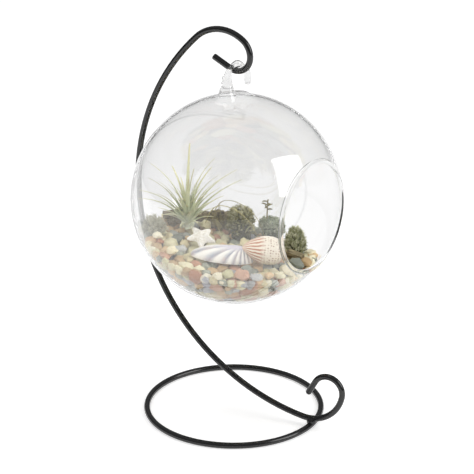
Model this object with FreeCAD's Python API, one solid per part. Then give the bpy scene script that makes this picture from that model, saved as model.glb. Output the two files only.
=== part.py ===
import FreeCAD, Part
import math
import os

# Hanging air plant holder: a black wire stand on a ring foot, and a blown glass globe that
# hangs from the stand by its own glass hook, with a gravel bed, moss, wood, shells and an
# air plant inside. Millimetres, +Z up. The origin is the ring's centre on the table. The
# stand's bow lies in the XZ plane, with the scroll at +X and the belly at -X.

Vector = FreeCAD.Vector
UP = Vector(0, 0, 1)

# Stand: one round wire bent into a hook, a long bow and a scroll, welded on a wire ring
wire_d = 3.5
ring_d = 102.6
ring_land = 0.12
tip_run = 12.0
tip_fall_deg = 27.5
hook_bend_r = 8.3
hook_bend_deg = 84.4
crown_bend_r = 11.4
crown_bend_deg = 59.0
shoulder_bend_r = 22.7
shoulder_bend_deg = 79.75
foot_bend_r = 22.0
foot_climb_deg = 6.4
foot_bend_deg = 73.5
scroll_bend_r = 9.1
scroll_bend_deg = 161.0
scroll_run = 10.0
seat_offset = 1.9
bow_gap = 3.5
tip_bevel = 0.3
scroll_end_round = 1.4
weld_root_gap = 0.05
weld_bead_d = 5.6

# Glass globe: wall, side opening with a melted rim, and the neck that carries the hook
globe_d = 120.0
glass_wall = 1.6
opening_d = 59.6
opening_turn_deg = -6.0
rim_bead_d = 2.8
dome_gap = 1.0
neck_d = 21.0
neck_rise = 2.3
neck_edge_r = 2.5
neck_flare_r = 6.0
neck_wall = 2.6
neck_hollow_edge_r = 1.5
neck_hollow_flare_r = 4.0

# Glass hook: a bent glass rod, melted on to the neck beside the globe's axis
hanger_rod_d = 4.2
hanger_bend_r = 7.3
hanger_turn_deg = 68.0
hanger_rise = 14.3
hanger_shift = 0.7
hanger_foot_d = 10.4
hanger_foot_rise = 8.0
hanger_end_gap = 3.0
hanger_clearance = 0.15

# Gravel: a bed with a sloping top, and loose stones on it in four colours
bed_gap = 0.3
bed_depth = 30.0
bed_slope_deg = 8.5
bed_facets = 36
bed_tiers = 6
stone_d = 7.6
stone_h = 5.2
stone_spacing = 8.6
stone_sides = 5

# Air plant: a short bulb with tapering leaves, standing loose on the gravel
plant_bulb_d = 9.6
plant_bulb_h = 9.0
bulb_sides = 8
plant_gap = 0.3
leaf_headroom = 18.6
leaf_width = 3.0
leaf_thickness = 1.2

# Driftwood behind the plant
log_length = 33.0
log_d = 7.0
log_turn_deg = 41.0
log_sides = 7

# Moss: a tall clump in the middle, a low block behind it and a tuft by the opening
clump_d = 23.0
clump_h = 20.0
block_d = 15.0
block_h = 12.0
tuft_d = 13.0
tuft_h = 15.0
moss_sides = 12

# Blades of grass that arch over the clump, and a twig in the moss block
blade_d = 0.8
blade_side_gap = 2.0
blade_top_gap = 4.5
blade_steps = 8
twig_d = 1.0
twig_h = 11.0
twig_leaf = 3.4
twig_leaf_count = 3

# Shells, star, coral and wood chip that lie on the gravel
cockle_length = 35.0
cockle_width = 17.0
cockle_h = 7.0
cockle_edge = 1.6
cockle_rib_depth = 0.9
cockle_ribs = 28
cockle_turn_deg = 28.7
snail_length = 23.5
snail_d = 16.0
snail_turn_deg = 208.7
snail_lean_deg = 7.0
star_d = 18.0
star_waist_d = 7.0
star_h = 4.0
star_arms = 5
star_turn_deg = 10.0
star_lean_deg = 20.0
star_lean_side_deg = 28.7
coral_d = 11.0
coral_waist_d = 4.6
coral_h = 8.0
coral_arms = 6
coral_turn_deg = 6.0
chip_length = 10.0
chip_width = 5.0
chip_h = 3.5
rest_gap = 0.2

# One overrun for every cutting tool
overrun = 5.0

# Radii and levels that follow from the sizes above
wire_r = wire_d / 2
ring_r = ring_d / 2
ring_z = wire_r - ring_land
globe_r = globe_d / 2
inner_r = globe_r - glass_wall
opening_r = opening_d / 2
rim_r = rim_bead_d / 2
hanger_r = hanger_rod_d / 2
bed_r = inner_r - bed_gap
bed_slope = math.tan(math.radians(bed_slope_deg))

# Places on the gravel, along X and Y from the globe's axis, as shares of the bed's radius
PLACE_SHARES = {
    "plant": (-0.540, -0.026),
    "log": (-0.587, 0.117),
    "clump": (-0.119, 0.181),
    "block": (0.174, 0.404),
    "tuft": (0.484, 0.318),
    "cockle": (0.062, -0.410),
    "snail": (0.386, -0.179),
    "star": (-0.265, -0.215),
    "coral": (-0.750, -0.327),
    "chip": (0.570, 0.138),
}

# Leaves of the air plant: direction round the plant, rise above level, share of the length
LEAF_SHARES = (
    (117, 87, 1.00), (30, 70, 0.92), (25, 51, 0.96), (33, 41, 0.88), (52, 33, 0.56),
    (214, 62, 0.90), (225, 54, 0.80), (231, 43, 0.80), (236, 37, 0.74), (163, 66, 0.72),
    (246, 50, 0.62), (70, 62, 0.74), (300, 66, 0.76), (330, 52, 0.66), (275, 56, 0.66),
    (0, 60, 0.80), (345, 34, 0.56), (305, 38, 0.54), (262, 30, 0.54), (200, 30, 0.40),
    (95, 44, 0.38), (140, 40, 0.36), (15, 24, 0.34), (320, 24, 0.36), (285, 18, 0.42),
)
leaf_sag_share = 0.16

# Outlines as shares of a piece's own sizes: place along it, then its width there
LEAF_WIDTH_SHARES = ((0.02, 0.9), (0.3, 1.0), (0.62, 0.62), (0.86, 0.3))
BULB_SHARES = ((0.0, 0.6), (0.3, 0.95), (0.6, 1.0), (1.0, 0.6))
LOG_SHARES = ((-0.48, 0.7), (-0.3, 0.95), (-0.1, 0.8), (0.12, 1.0), (0.34, 0.85), (0.48, 0.6))
MOSS_SHARES = ((0.0, 0.88), (0.3, 1.0), (0.65, 0.92), (0.9, 0.62))
STONE_SHARES = ((0.275, 0.9), (0.725, 0.9))
COCKLE_SHARES = ((1.0, 0.0), (0.72, 0.6), (0.4, 0.9))
COCKLE_BEAK_SHARES = (0.42, 0.84)
SNAIL_SHARES = (
    (0.0, 0.12), (0.1, 0.64), (0.34, 1.0), (0.46, 0.93), (0.56, 0.7), (0.665, 0.64),
    (0.76, 0.42), (0.84, 0.36), (0.9, 0.2), (0.96, 0.14), (1.0, 0.04),
)
BLADE_PLACE_SHARES = (-0.28, 0.04)
leaf_root_share = 0.3
stone_wobble_share = 0.1
moss_wobble_share = 0.07
star_wobble_share = 0.06


def bend(start, heading, radius, turn):
    """One bend of the wire in the XZ plane, always to the same side, from a start point."""
    last = heading + turn

    def along(angle):
        return start + Vector(
            radius * (math.sin(angle) - math.sin(heading)), 0, radius * (math.cos(heading) - math.cos(angle))
        )

    return Part.Arc(start, along((heading + last) / 2), along(last)).toShape(), along(last), last


def ahead(heading):
    """Unit vector in the XZ plane at an angle above +X."""
    return Vector(math.cos(heading), 0, math.sin(heading))


def inward(heading):
    """Unit vector in the XZ plane towards the inside of a bend."""
    return Vector(-math.sin(heading), 0, math.cos(heading))


def level(turn):
    """Unit vector in the XY plane at an angle from +X."""
    return Vector(math.cos(turn), math.sin(turn), 0)


def stand_path():
    """Centreline of the stand's wire, with its lowest hook point first set at the origin.

    The long bow's radius comes from its gap to the globe, and its length from the distance
    between the hook's seat and the place where the wire is welded on the ring.
    """
    seat = Vector(0, 0, 0)
    tip_bend, tip_joint, tip_heading = bend(seat, 0, hook_bend_r, -math.radians(tip_fall_deg))
    tip = tip_joint - ahead(tip_heading) * tip_run
    edges = [Part.makeLine(tip, tip_joint), tip_bend]
    point, heading = seat, 0
    for radius, turn in (
        (hook_bend_r, math.radians(hook_bend_deg)),
        (crown_bend_r, math.radians(crown_bend_deg)),
        (shoulder_bend_r, math.radians(shoulder_bend_deg)),
    ):
        edge, point, heading = bend(point, heading, radius, turn)
        edges.append(edge)

    globe_drop = globe_r + neck_rise + hanger_rise - wire_r - hanger_clearance
    from_globe = point + UP * globe_drop
    reach = globe_r + bow_gap + wire_r
    bow_r = (reach**2 - from_globe.dot(from_globe)) / (2 * (from_globe.dot(inward(heading)) + reach))
    climb = math.radians(foot_climb_deg)
    full_turn = 2 * math.pi
    bow_end_sine = (
        ring_r
        - wire_d * math.sin(climb)
        - seat_offset
        - point.x
        + bow_r * math.sin(heading)
        - foot_bend_r * math.sin(climb)
    ) / (bow_r - foot_bend_r)
    bow_turn = full_turn + math.asin(bow_end_sine) - heading
    edge, point, heading = bend(point, heading, bow_r, bow_turn)
    edges.append(edge)
    edge, weld_point, heading = bend(point, heading, foot_bend_r, full_turn + climb - heading)
    edges.append(edge)
    edge, point, heading = bend(weld_point, heading, foot_bend_r, math.radians(foot_bend_deg))
    edges.append(edge)
    edge, point, heading = bend(point, heading, scroll_bend_r, math.radians(scroll_bend_deg))
    edges.append(edge)
    edges.append(Part.makeLine(point, point + ahead(heading) * scroll_run))

    weld_z = ring_z + (wire_d + weld_root_gap) * math.cos(climb)
    shift = Vector(seat_offset, 0, weld_z - weld_point.z)
    for edge in edges:
        edge.translate(shift)
    return edges, shift, tip + shift, tip_heading


def tube(edges, radius, start, heading):
    """Round bar of one radius along a path of lines and arcs."""
    profile = Part.Wire(Part.makeCircle(radius, start, heading))
    return Part.Wire(edges).makePipeShell([profile], True, False)


def end_edges(shape, centre, radius):
    """Round edges of a bar's flat end, found by the centre of their circle."""
    return [
        edge
        for edge in shape.Edges
        if edge.Curve.TypeId == "Part::GeomCircle"
        and edge.Curve.Center.distanceToPoint(centre) < radius / 2
        and abs(edge.Curve.Radius - radius) < radius / 100
    ]


def make_ring():
    """Ring foot: a bent wire circle with a narrow land worn flat under it."""
    ring = Part.makeTorus(ring_r, wire_r, UP * ring_z, UP)
    width = ring_d + 2 * (wire_d + overrun)
    below = Part.makeBox(width, width, overrun, Vector(-width / 2, -width / 2, -overrun))
    return ring.cut(below)


def make_arm():
    """Hook, bow and scroll in one wire, with a bevelled tip and a domed scroll end."""
    edges, seat, tip, tip_heading = stand_path()
    bar = tube(edges, wire_r, tip, ahead(tip_heading))
    scroll_end = edges[-1].Vertexes[-1].Point
    bar = bar.makeChamfer(tip_bevel, end_edges(bar, tip, wire_r))
    return bar.makeFillet(scroll_end_round, end_edges(bar, scroll_end, wire_r)), seat


def make_weld(arm, ring):
    """Bead in the corners where the wire crosses the ring."""
    lean = math.radians(foot_climb_deg)
    middle = (wire_d + weld_root_gap) / 2
    place = Vector(ring_r - middle * math.sin(lean), 0, ring_z + middle * math.cos(lean))
    return Part.makeSphere(weld_bead_d / 2, place).cut(arm).cut(ring)


def neck_outline(sphere_r, top_r, top_z, edge_r, flare_r):
    """Edges of a neck's outline, from the sphere's foot to the flat top, about the centre."""
    edge_centre = Vector(top_r - edge_r, 0, top_z - edge_r)
    far = sphere_r + flare_r
    near = edge_r + flare_r
    span = edge_centre.Length
    towards = edge_centre / span
    aside = Vector(towards.z, 0, -towards.x)
    along = (far**2 - near**2 + span**2) / (2 * span)
    flare_centre = towards * along + aside * math.sqrt(far**2 - along**2)
    foot = flare_centre * (sphere_r / far)
    crest = edge_centre + (flare_centre - edge_centre) * (edge_r / near)
    flare_way = (foot + crest) / 2 - flare_centre
    flare_mid = flare_centre + flare_way * (flare_r / flare_way.Length)
    edge_way = (crest + edge_centre + UP * edge_r) / 2 - edge_centre
    edge_mid = edge_centre + edge_way * (edge_r / edge_way.Length)
    top = edge_centre + UP * edge_r
    return foot, [
        Part.Arc(foot, flare_mid, crest).toShape(),
        Part.Arc(crest, edge_mid, top).toShape(),
        Part.makeLine(top, UP * top_z),
    ]


def wall_outline(sphere_r, top_r, top_z, edge_r, flare_r):
    """Half outline of the sphere with its neck, from the bottom pole to the top."""
    foot, neck = neck_outline(sphere_r, top_r, top_z, edge_r, flare_r)
    bottom = UP * -sphere_r
    side = Vector(sphere_r, 0, 0)
    return [Part.Arc(bottom, side, foot).toShape()] + neck


def make_globe(centre):
    """Blown globe: one wall with a necked top, a round side opening and its melted rim.

    The wall comes in two solids that meet face to face on a level just over the opening: the
    bowl with the opening in it, and the dome with the neck.
    """
    neck_top = globe_r + neck_rise
    outer = wall_outline(globe_r, neck_d / 2, neck_top, neck_edge_r, neck_flare_r)
    inner = wall_outline(
        inner_r, neck_d / 2 - neck_wall, neck_top - neck_wall, neck_hollow_edge_r, neck_hollow_flare_r
    )
    closing = [
        Part.makeLine(UP * neck_top, UP * (neck_top - neck_wall)),
        Part.makeLine(UP * -inner_r, UP * -globe_r),
    ]
    outline = Part.Wire(Part.__sortEdges__(outer + inner + closing))
    shell = Part.Face(outline).revolve(Vector(0, 0, 0), UP, 360)

    facing = opening_direction()
    bead_r = opening_r + rim_r
    bead_sphere_r = globe_r - glass_wall / 2
    bead_depth = math.sqrt(bead_sphere_r**2 - bead_r**2)
    hole = Part.makeCylinder(bead_r, globe_r + overrun, Vector(0, 0, 0), facing)
    bead = Part.makeTorus(bead_r, rim_r, facing * bead_depth, facing)
    shell = shell.cut(hole).fuse(bead)
    width = globe_d + 2 * overrun
    dome_z = bead_r + rim_r + dome_gap
    above = Part.makeBox(width, width, width, Vector(-width / 2, -width / 2, dome_z))
    bowl = shell.cut(above)
    dome = shell.common(above)
    for piece in (bowl, dome):
        piece.translate(centre)
    return bowl, dome


def opening_direction():
    """Outward direction of the side opening, level and turned a little from +X."""
    return level(math.radians(opening_turn_deg))


def make_hanger(centre, seat, dome):
    """Glass hook: stem on a flared foot, half turn over the wire, and a domed free end."""
    across = level(math.radians(hanger_turn_deg))
    neck_top = centre.z + globe_r + neck_rise
    top_z = seat.z + wire_r + hanger_clearance + hanger_r
    middle = Vector(seat.x, seat.y, top_z - hanger_bend_r)
    stem_x = middle - across * (hanger_bend_r - hanger_shift / 2)
    free_x = middle + across * (hanger_bend_r + hanger_shift / 2)
    crest = (stem_x + free_x) / 2 + UP * hanger_bend_r
    foot = Vector(stem_x.x, stem_x.y, neck_top - neck_edge_r)
    free_end = Vector(free_x.x, free_x.y, neck_top + hanger_end_gap + hanger_r)
    path = [
        Part.makeLine(foot, stem_x),
        Part.Arc(stem_x, crest, free_x).toShape(),
        Part.makeLine(free_x, free_end),
    ]
    rod = tube(path, hanger_r, foot, UP).fuse(Part.makeSphere(hanger_r, free_end))

    flare = hanger_foot_d / 2 - hanger_r
    lean = Vector(hanger_foot_d / 2, 0, 0)
    waist = Vector(hanger_r, 0, hanger_foot_rise)
    bow_in = Vector(hanger_r + flare / 4, 0, hanger_foot_rise / 3)
    edge = Vector(hanger_foot_d / 2, 0, -neck_edge_r)
    outline = [
        Part.Arc(lean, bow_in, waist).toShape(),
        Part.makeLine(waist, Vector(0, 0, waist.z)),
        Part.makeLine(Vector(0, 0, waist.z), Vector(0, 0, edge.z)),
        Part.makeLine(Vector(0, 0, edge.z), edge),
        Part.makeLine(edge, lean),
    ]
    flared = Part.Face(Part.Wire(outline)).revolve(Vector(0, 0, 0), UP, 360)
    flared.translate(Vector(stem_x.x, stem_x.y, neck_top))
    return rod.fuse(flared).cut(dome)


def closed_solid(triangles):
    """Solid bounded by flat triangles, given as point triples."""
    faces = [Part.Face(Part.makePolygon([a, b, c, a])) for a, b, c in triangles]
    solid = Part.makeSolid(Part.makeShell(faces))
    if solid.Volume < 0:
        solid.reverse()
    return solid


def stacked_solid(start, rings, end):
    """Solid through rings of points, closed to one point below and one above."""
    triangles = []
    count = len(rings[0])
    for i in range(count):
        j = (i + 1) % count
        triangles.append((start, rings[0][j], rings[0][i]))
        for low, high in zip(rings, rings[1:]):
            triangles.append((low[i], low[j], high[j]))
            triangles.append((low[i], high[j], high[i]))
        triangles.append((end, rings[-1][i], rings[-1][j]))
    return closed_solid(triangles)


def wobble(*seeds):
    """Repeatable irregular share from -1 to 1 for natural surfaces."""
    return math.sin(sum(seed * step for seed, step in zip(seeds, (12.9, 78.2, 37.7))) + 1)


def round_ring(middle, radius, count, turn=0, way=UP, side=Vector(1, 0, 0)):
    """Points spaced round a circle square to a direction; the radius may be a function of i."""
    across = way.cross(side)
    points = []
    for i in range(count):
        around = 2 * math.pi * i / count + turn
        out = radius(i) if callable(radius) else radius
        points.append(middle + side * (out * math.cos(around)) + across * (out * math.sin(around)))
    return points


def bed_height(centre, x):
    """Height of the gravel's top, which slopes down towards the opening."""
    return centre.z - bed_r + bed_depth + (centre.x - x) * bed_slope


def on_bed(centre, x, y, lift=rest_gap):
    """Point over the gravel's top."""
    return Vector(x, y, bed_height(centre, x) + lift)


def place_of(centre, name):
    """Place of a piece on the gravel, a rest gap above it."""
    x_share, y_share = PLACE_SHARES[name]
    return on_bed(centre, centre.x + bed_r * x_share, centre.y + bed_r * y_share)


def make_bed(centre):
    """Gravel bed: a faceted bowl of stones that fits the glass, with a sloping top."""
    rings = []
    for tier in range(1, bed_tiers + 1):
        fall = math.pi / 2 * tier / bed_tiers
        half_step = math.pi * tier / bed_facets
        middle = centre - UP * (bed_r * math.cos(fall))
        rings.append(round_ring(middle, bed_r * math.sin(fall), bed_facets, half_step))
    bowl = stacked_solid(centre - UP * bed_r, rings, centre)
    size = globe_d + 2 * overrun
    above = Part.makeBox(size, size, size, Vector(-size / 2, -size / 2, 0))
    above.rotate(Vector(0, 0, 0), Vector(0, 1, 0), bed_slope_deg)
    above.translate(Vector(centre.x, centre.y, bed_height(centre, centre.x)))
    return bowl.cut(above)


def make_stone(place, size, seed):
    """Tumbled stone: a squat faceted lump with its lowest point just over the gravel."""
    rings = []
    for tier, (height_share, radius_share) in enumerate(STONE_SHARES):
        rings.append(
            round_ring(
                place + UP * (stone_h * height_share),
                lambda i: size / 2 * (radius_share + stone_wobble_share * wobble(seed, i, tier)),
                stone_sides,
                seed + tier * math.pi / stone_sides,
            )
        )
    return stacked_solid(place, rings, place + UP * stone_h)


def footprints(centre):
    """Round places on the gravel that the larger pieces take: middle and radius."""
    spots = [
        (place_of(centre, "plant"), plant_bulb_d),
        (place_of(centre, "clump"), clump_d / 2 + blade_side_gap + blade_d),
        (place_of(centre, "block"), block_d / 2),
        (place_of(centre, "tuft"), tuft_d / 2),
        (place_of(centre, "star"), star_d / 2),
        (place_of(centre, "coral"), coral_d / 2),
        (place_of(centre, "chip"), chip_length / 2),
    ]
    for name, turn_deg, length, radius in (
        ("log", log_turn_deg, log_length, log_d),
        ("cockle", cockle_turn_deg, cockle_length, cockle_width / 2),
        ("snail", snail_turn_deg, snail_length, snail_d / 2),
    ):
        way = level(math.radians(turn_deg))
        for side in (-1, 0, 1):
            spots.append((place_of(centre, name) + way * (length / 3 * side), radius))
    margin = stone_d / 2 + rest_gap
    return [(spot.x, spot.y, radius + margin) for spot, radius in spots]


def make_stones(centre):
    """Loose stones in rings on the gravel, wherever no larger piece lies, in four colours."""
    colours = {"stones_cream": [], "stones_terracotta": [], "stones_grey": [], "stones_tan": []}
    names = list(colours)
    surface = bed_height(centre, centre.x)
    reach = math.sqrt(bed_r**2 - (centre.z - surface) ** 2) - stone_d
    taken = footprints(centre)
    number = 0
    tiers = int(reach / stone_spacing)
    for tier in range(tiers + 1):
        radius = reach * tier / tiers
        count = max(1, int(2 * math.pi * radius / stone_spacing))
        for i in range(count):
            spot = centre + level(2 * math.pi * (i + tier / 3) / count) * radius
            number += 1
            if any(math.hypot(spot.x - x, spot.y - y) < apart for x, y, apart in taken):
                continue
            size = stone_d * (1 - stone_wobble_share * (1 + wobble(number, tier, i)))
            stone = make_stone(on_bed(centre, spot.x, spot.y), size, number)
            colours[names[(number * 3 + tier) % len(names)]].append(stone)
    return {name: Part.makeCompound(stones) for name, stones in colours.items()}


def make_leaf(root, around, rise, length):
    """Channelled leaf: three edges that run from a wide root to a fine tip and sag a little."""
    out = level(around)
    side = Vector(-out.y, out.x, 0)
    way = out * math.cos(rise) + UP * math.sin(rise)
    over = way.cross(side)
    sag = length * leaf_sag_share
    rings = []
    for share, width_share in LEAF_WIDTH_SHARES:
        spine = root + way * (length * share) + over * (4 * sag * share * (1 - share))
        half = side * (leaf_width / 2 * width_share)
        rings.append([spine + half, spine - half, spine - over * (leaf_thickness * width_share)])
    return stacked_solid(root, rings, root + way * length)


def make_plant(centre):
    """Air plant: a bulb and its leaves in one piece, with headroom under the glass."""
    spot = place_of(centre, "plant")
    foot = on_bed(centre, spot.x, spot.y, plant_gap) + UP * (plant_bulb_d / 2 * bed_slope)
    rings = [
        round_ring(foot + UP * (plant_bulb_h * height_share), plant_bulb_d / 2 * radius_share, bulb_sides)
        for height_share, radius_share in BULB_SHARES
    ]
    plant = stacked_solid(foot, rings, foot + UP * plant_bulb_h)
    glass_z = centre.z + math.sqrt(inner_r**2 - (spot.x - centre.x) ** 2 - (spot.y - centre.y) ** 2)
    leaf_length = glass_z - leaf_headroom - foot.z - plant_bulb_h
    for around_deg, rise_deg, share in LEAF_SHARES:
        around = math.radians(around_deg)
        rise = math.radians(rise_deg)
        root_height = plant_bulb_h * (leaf_root_share + rise / math.pi)
        root = foot + level(around) * (plant_bulb_d / 6) + UP * root_height
        plant = plant.fuse(make_leaf(root, around, rise, leaf_length * share))
    return plant


def make_log(centre):
    """Driftwood: a weathered stick with uneven bark that lies along the gravel."""
    way = level(math.radians(log_turn_deg))
    middle = place_of(centre, "log")
    rings = []
    for tier, (share, radius_share) in enumerate(LOG_SHARES):
        spot = middle + way * (log_length * share)
        radius = log_d / 2 * radius_share
        spot = on_bed(centre, spot.x, spot.y) + UP * (radius + log_d / 2 * bed_slope)
        rings.append(
            round_ring(
                spot,
                lambda i: radius * (1 - stone_wobble_share * (1 + wobble(i, tier)) / 2),
                log_sides,
                way=way,
                side=Vector(-way.y, way.x, 0),
            )
        )
    ends = [sum(ring, Vector(0, 0, 0)) / log_sides for ring in (rings[0], rings[-1])]
    tip = way * (log_d / 8)
    return stacked_solid(ends[0] - tip, rings, ends[1] + tip)


def make_moss(centre, name, width, height, seed):
    """Clump of moss: a lumpy dome that follows the gravel's slope underneath."""
    middle = place_of(centre, name)
    rings = []
    for tier, (height_share, radius_share) in enumerate(MOSS_SHARES):
        ring = round_ring(
            middle,
            lambda i: width / 2 * radius_share * (1 - moss_wobble_share * (1 - wobble(i, tier, seed))),
            moss_sides,
        )
        rings.append([on_bed(centre, point.x, point.y) + UP * (height * height_share) for point in ring])
    return stacked_solid(middle, rings, middle + UP * height)


def make_star(centre, name, width, waist, height, arms, turn_deg, lean_deg=0):
    """Star with ridged arms that taper to points, lying on the gravel or leaning up from it."""
    middle = place_of(centre, name)
    outline = round_ring(
        middle,
        lambda i: (waist if i % 2 else width * (1 - star_wobble_share * (1 + wobble(i, arms)) / 2)) / 2,
        2 * arms,
        math.radians(turn_deg),
    )
    outline = [on_bed(centre, point.x, point.y) + UP * (height / 6) for point in outline]
    foot = middle
    crown = middle + UP * height
    triangles = []
    for i, point in enumerate(outline):
        following = outline[(i + 1) % len(outline)]
        triangles.append((crown, point, following))
        triangles.append((foot, following, point))
    star = closed_solid(triangles)
    side = level(math.radians(star_lean_side_deg))
    front = middle + side.cross(UP) * (width / 2)
    star.rotate(on_bed(centre, front.x, front.y), side, lean_deg)
    return star


def margin_reach(way, beak_x, beak_y):
    """Distance along a direction from the cockle's beak to its oval margin."""
    half_length = cockle_length / 2
    half_width = cockle_width / 2
    a = (way.x / half_length) ** 2 + (way.y / half_width) ** 2
    b = beak_x * way.x / half_length**2 + beak_y * way.y / half_width**2
    c = (beak_x / half_length) ** 2 + (beak_y / half_width) ** 2 - 1
    return (-b + math.sqrt(b * b - a * c)) / a


def make_cockle(centre):
    """Cockle valve: an oval dome whose ribs fan out from the beak near its back edge."""
    turn = math.radians(cockle_turn_deg)
    along = level(turn)
    back = Vector(-along.y, along.x, 0)
    middle = place_of(centre, "cockle")
    beak_x = cockle_length / 2 * COCKLE_BEAK_SHARES[0]
    beak_y = cockle_width / 2 * COCKLE_BEAK_SHARES[1]
    beak = middle + along * beak_x + back * beak_y
    rings = [[]]
    for reach_share, height_share in COCKLE_SHARES:
        ring = []
        for i in range(2 * cockle_ribs):
            way = level(math.pi * i / cockle_ribs)
            out = margin_reach(way, beak_x, beak_y) * reach_share
            point = beak + along * (way.x * out) + back * (way.y * out)
            groove = cockle_rib_depth * reach_share * (i % 2)
            top = cockle_edge + (cockle_h - cockle_edge) * height_share
            ring.append(on_bed(centre, point.x, point.y) + UP * (top - groove))
            if reach_share == 1:
                rings[0].append(on_bed(centre, point.x, point.y))
        rings.append(ring)
    foot = on_bed(centre, beak.x, beak.y)
    return stacked_solid(foot, rings, foot + UP * cockle_h)


def make_snail(centre):
    """Whelk: a long body whorl and a stepped spire, turned as one form, lying on its side."""
    radius = snail_d / 2
    points = [Vector(radius * out, 0, snail_length * along) for along, out in SNAIL_SHARES]
    edges = [Part.Arc(*points[i : i + 3]).toShape() for i in range(0, len(points) - 2, 2)]
    tip = UP * snail_length
    edges += [
        Part.makeLine(points[-1], tip),
        Part.makeLine(tip, Vector(0, 0, 0)),
        Part.makeLine(Vector(0, 0, 0), points[0]),
    ]
    shell = Part.Face(Part.Wire(edges)).revolve(Vector(0, 0, 0), UP, 360)
    turn = math.radians(snail_turn_deg)
    way = level(turn)
    bulge = snail_length * SNAIL_SHARES[2][0]
    shell.translate(UP * -bulge)
    shell.rotate(Vector(0, 0, 0), Vector(-way.y, way.x, 0), 90 - snail_lean_deg)
    middle = place_of(centre, "snail") - way * (snail_length / 2 - bulge)
    shell.translate(on_bed(centre, middle.x, middle.y) + UP * (radius * math.sqrt(1 + bed_slope**2)))
    return shell


def make_chip(centre):
    """Split chip of wood by the opening, flat on the gravel's slope."""
    corner = Vector(-chip_length / 2, -chip_width / 2, 0)
    chip = Part.makeBox(chip_length, chip_width, chip_h, corner)
    chip = chip.makeChamfer(chip_h / 4, chip.Edges)
    chip.rotate(Vector(0, 0, 0), Vector(0, 1, 0), bed_slope_deg)
    chip.translate(place_of(centre, "chip"))
    return chip


def make_blades(centre):
    """Two blades of grass that arch over the moss clump from one side to the other."""
    span = clump_d + 2 * blade_side_gap
    rise = clump_h + blade_top_gap
    blades = []
    for share in BLADE_PLACE_SHARES:
        middle = place_of(centre, "clump") + Vector(0, clump_d * share, 0)
        rings = []
        for step in range(blade_steps + 1):
            around = math.pi * step / blade_steps
            spot = on_bed(centre, middle.x - span / 2 * math.cos(around), middle.y)
            spot = spot + UP * (blade_d + rise * math.sin(around))
            out = Vector(-math.cos(around), 0, math.sin(around)) * (blade_d / 2)
            wide = Vector(0, blade_d, 0)
            rings.append([spot + out, spot - out + wide, spot - out - wide])
        ends = [sum(ring, Vector(0, 0, 0)) / 3 - UP * (blade_d / 2) for ring in (rings[0], rings[-1])]
        blades.append(stacked_solid(ends[0], rings, ends[1]))
    return Part.makeCompound(blades)


def make_twig(centre):
    """Twig that stands in the moss block, with small leaves spread round its top."""
    root = place_of(centre, "block") + UP * (block_h + rest_gap)
    twig = Part.makeCylinder(twig_d / 2, twig_h, root)
    top = root + UP * (twig_h - twig_leaf / 4)
    for i in range(twig_leaf_count):
        way = level(2 * math.pi * i / twig_leaf_count) + UP
        twig = twig.fuse(Part.makeCone(twig_d / 2, 0, twig_leaf, top, way))
    return twig


def main():
    os.makedirs("parts", exist_ok=True)
    arm, seat = make_arm()
    ring = make_ring()
    globe_z = seat.z + wire_r + hanger_clearance - hanger_rise - neck_rise - globe_r
    centre = Vector(seat.x, seat.y, globe_z)
    bowl, dome = make_globe(centre)
    nodes = {
        "base_ring": ring,
        "hook_arm": arm,
        "arm_weld": make_weld(arm, ring),
        "glass_globe": bowl,
        "glass_dome": dome,
        "glass_hook": make_hanger(centre, seat, dome),
        "gravel_bed": make_bed(centre),
        "driftwood": make_log(centre),
        "moss_clump": make_moss(centre, "clump", clump_d, clump_h, 1),
        "moss_block": make_moss(centre, "block", block_d, block_h, 2),
        "moss_tuft": make_moss(centre, "tuft", tuft_d, tuft_h, 3),
        "grass_blades": make_blades(centre),
        "twig_sprig": make_twig(centre),
        "cockle_shell": make_cockle(centre),
        "snail_shell": make_snail(centre),
        "starfish": make_star(
            centre, "star", star_d, star_waist_d, star_h, star_arms, star_turn_deg, star_lean_deg
        ),
        "coral_piece": make_star(
            centre, "coral", coral_d, coral_waist_d, coral_h, coral_arms, coral_turn_deg
        ),
        "wood_chip": make_chip(centre),
        "air_plant": make_plant(centre),
    }
    nodes.update(make_stones(centre))
    for name, shape in nodes.items():
        box = shape.BoundBox
        print(
            name,
            "valid" if shape.isValid() else "NOT VALID",
            "solids", len(shape.Solids),
            "volume", round(shape.Volume, 1),
            "x", round(box.XMin, 1), round(box.XMax, 1),
            "y", round(box.YMin, 1), round(box.YMax, 1),
            "z", round(box.ZMin, 1), round(box.ZMax, 1),
        )
        shape.exportStep("parts/" + name + ".step")
    print("hook seat", [round(value, 2) for value in seat])
    print("globe centre", [round(value, 2) for value in centre])


main()
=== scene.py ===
"""Hanging air plant holder: black wire stand, blown glass globe and the planting in it.

Everything stands in the part's own frame, in metres: the origin is the middle of the ring foot
on the table, +Z is up, the bow of the stand lies in the XZ plane and the globe opens to +X.
Sizes in the classes are millimetres and are turned to metres where a mesh is made.
"""

import logging
import math
from dataclasses import dataclass, field
from enum import Enum
from typing import Any, Callable, Iterable, Sequence

import bpy
import numpy as np
from mathutils import Matrix, Quaternion, Vector


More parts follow.
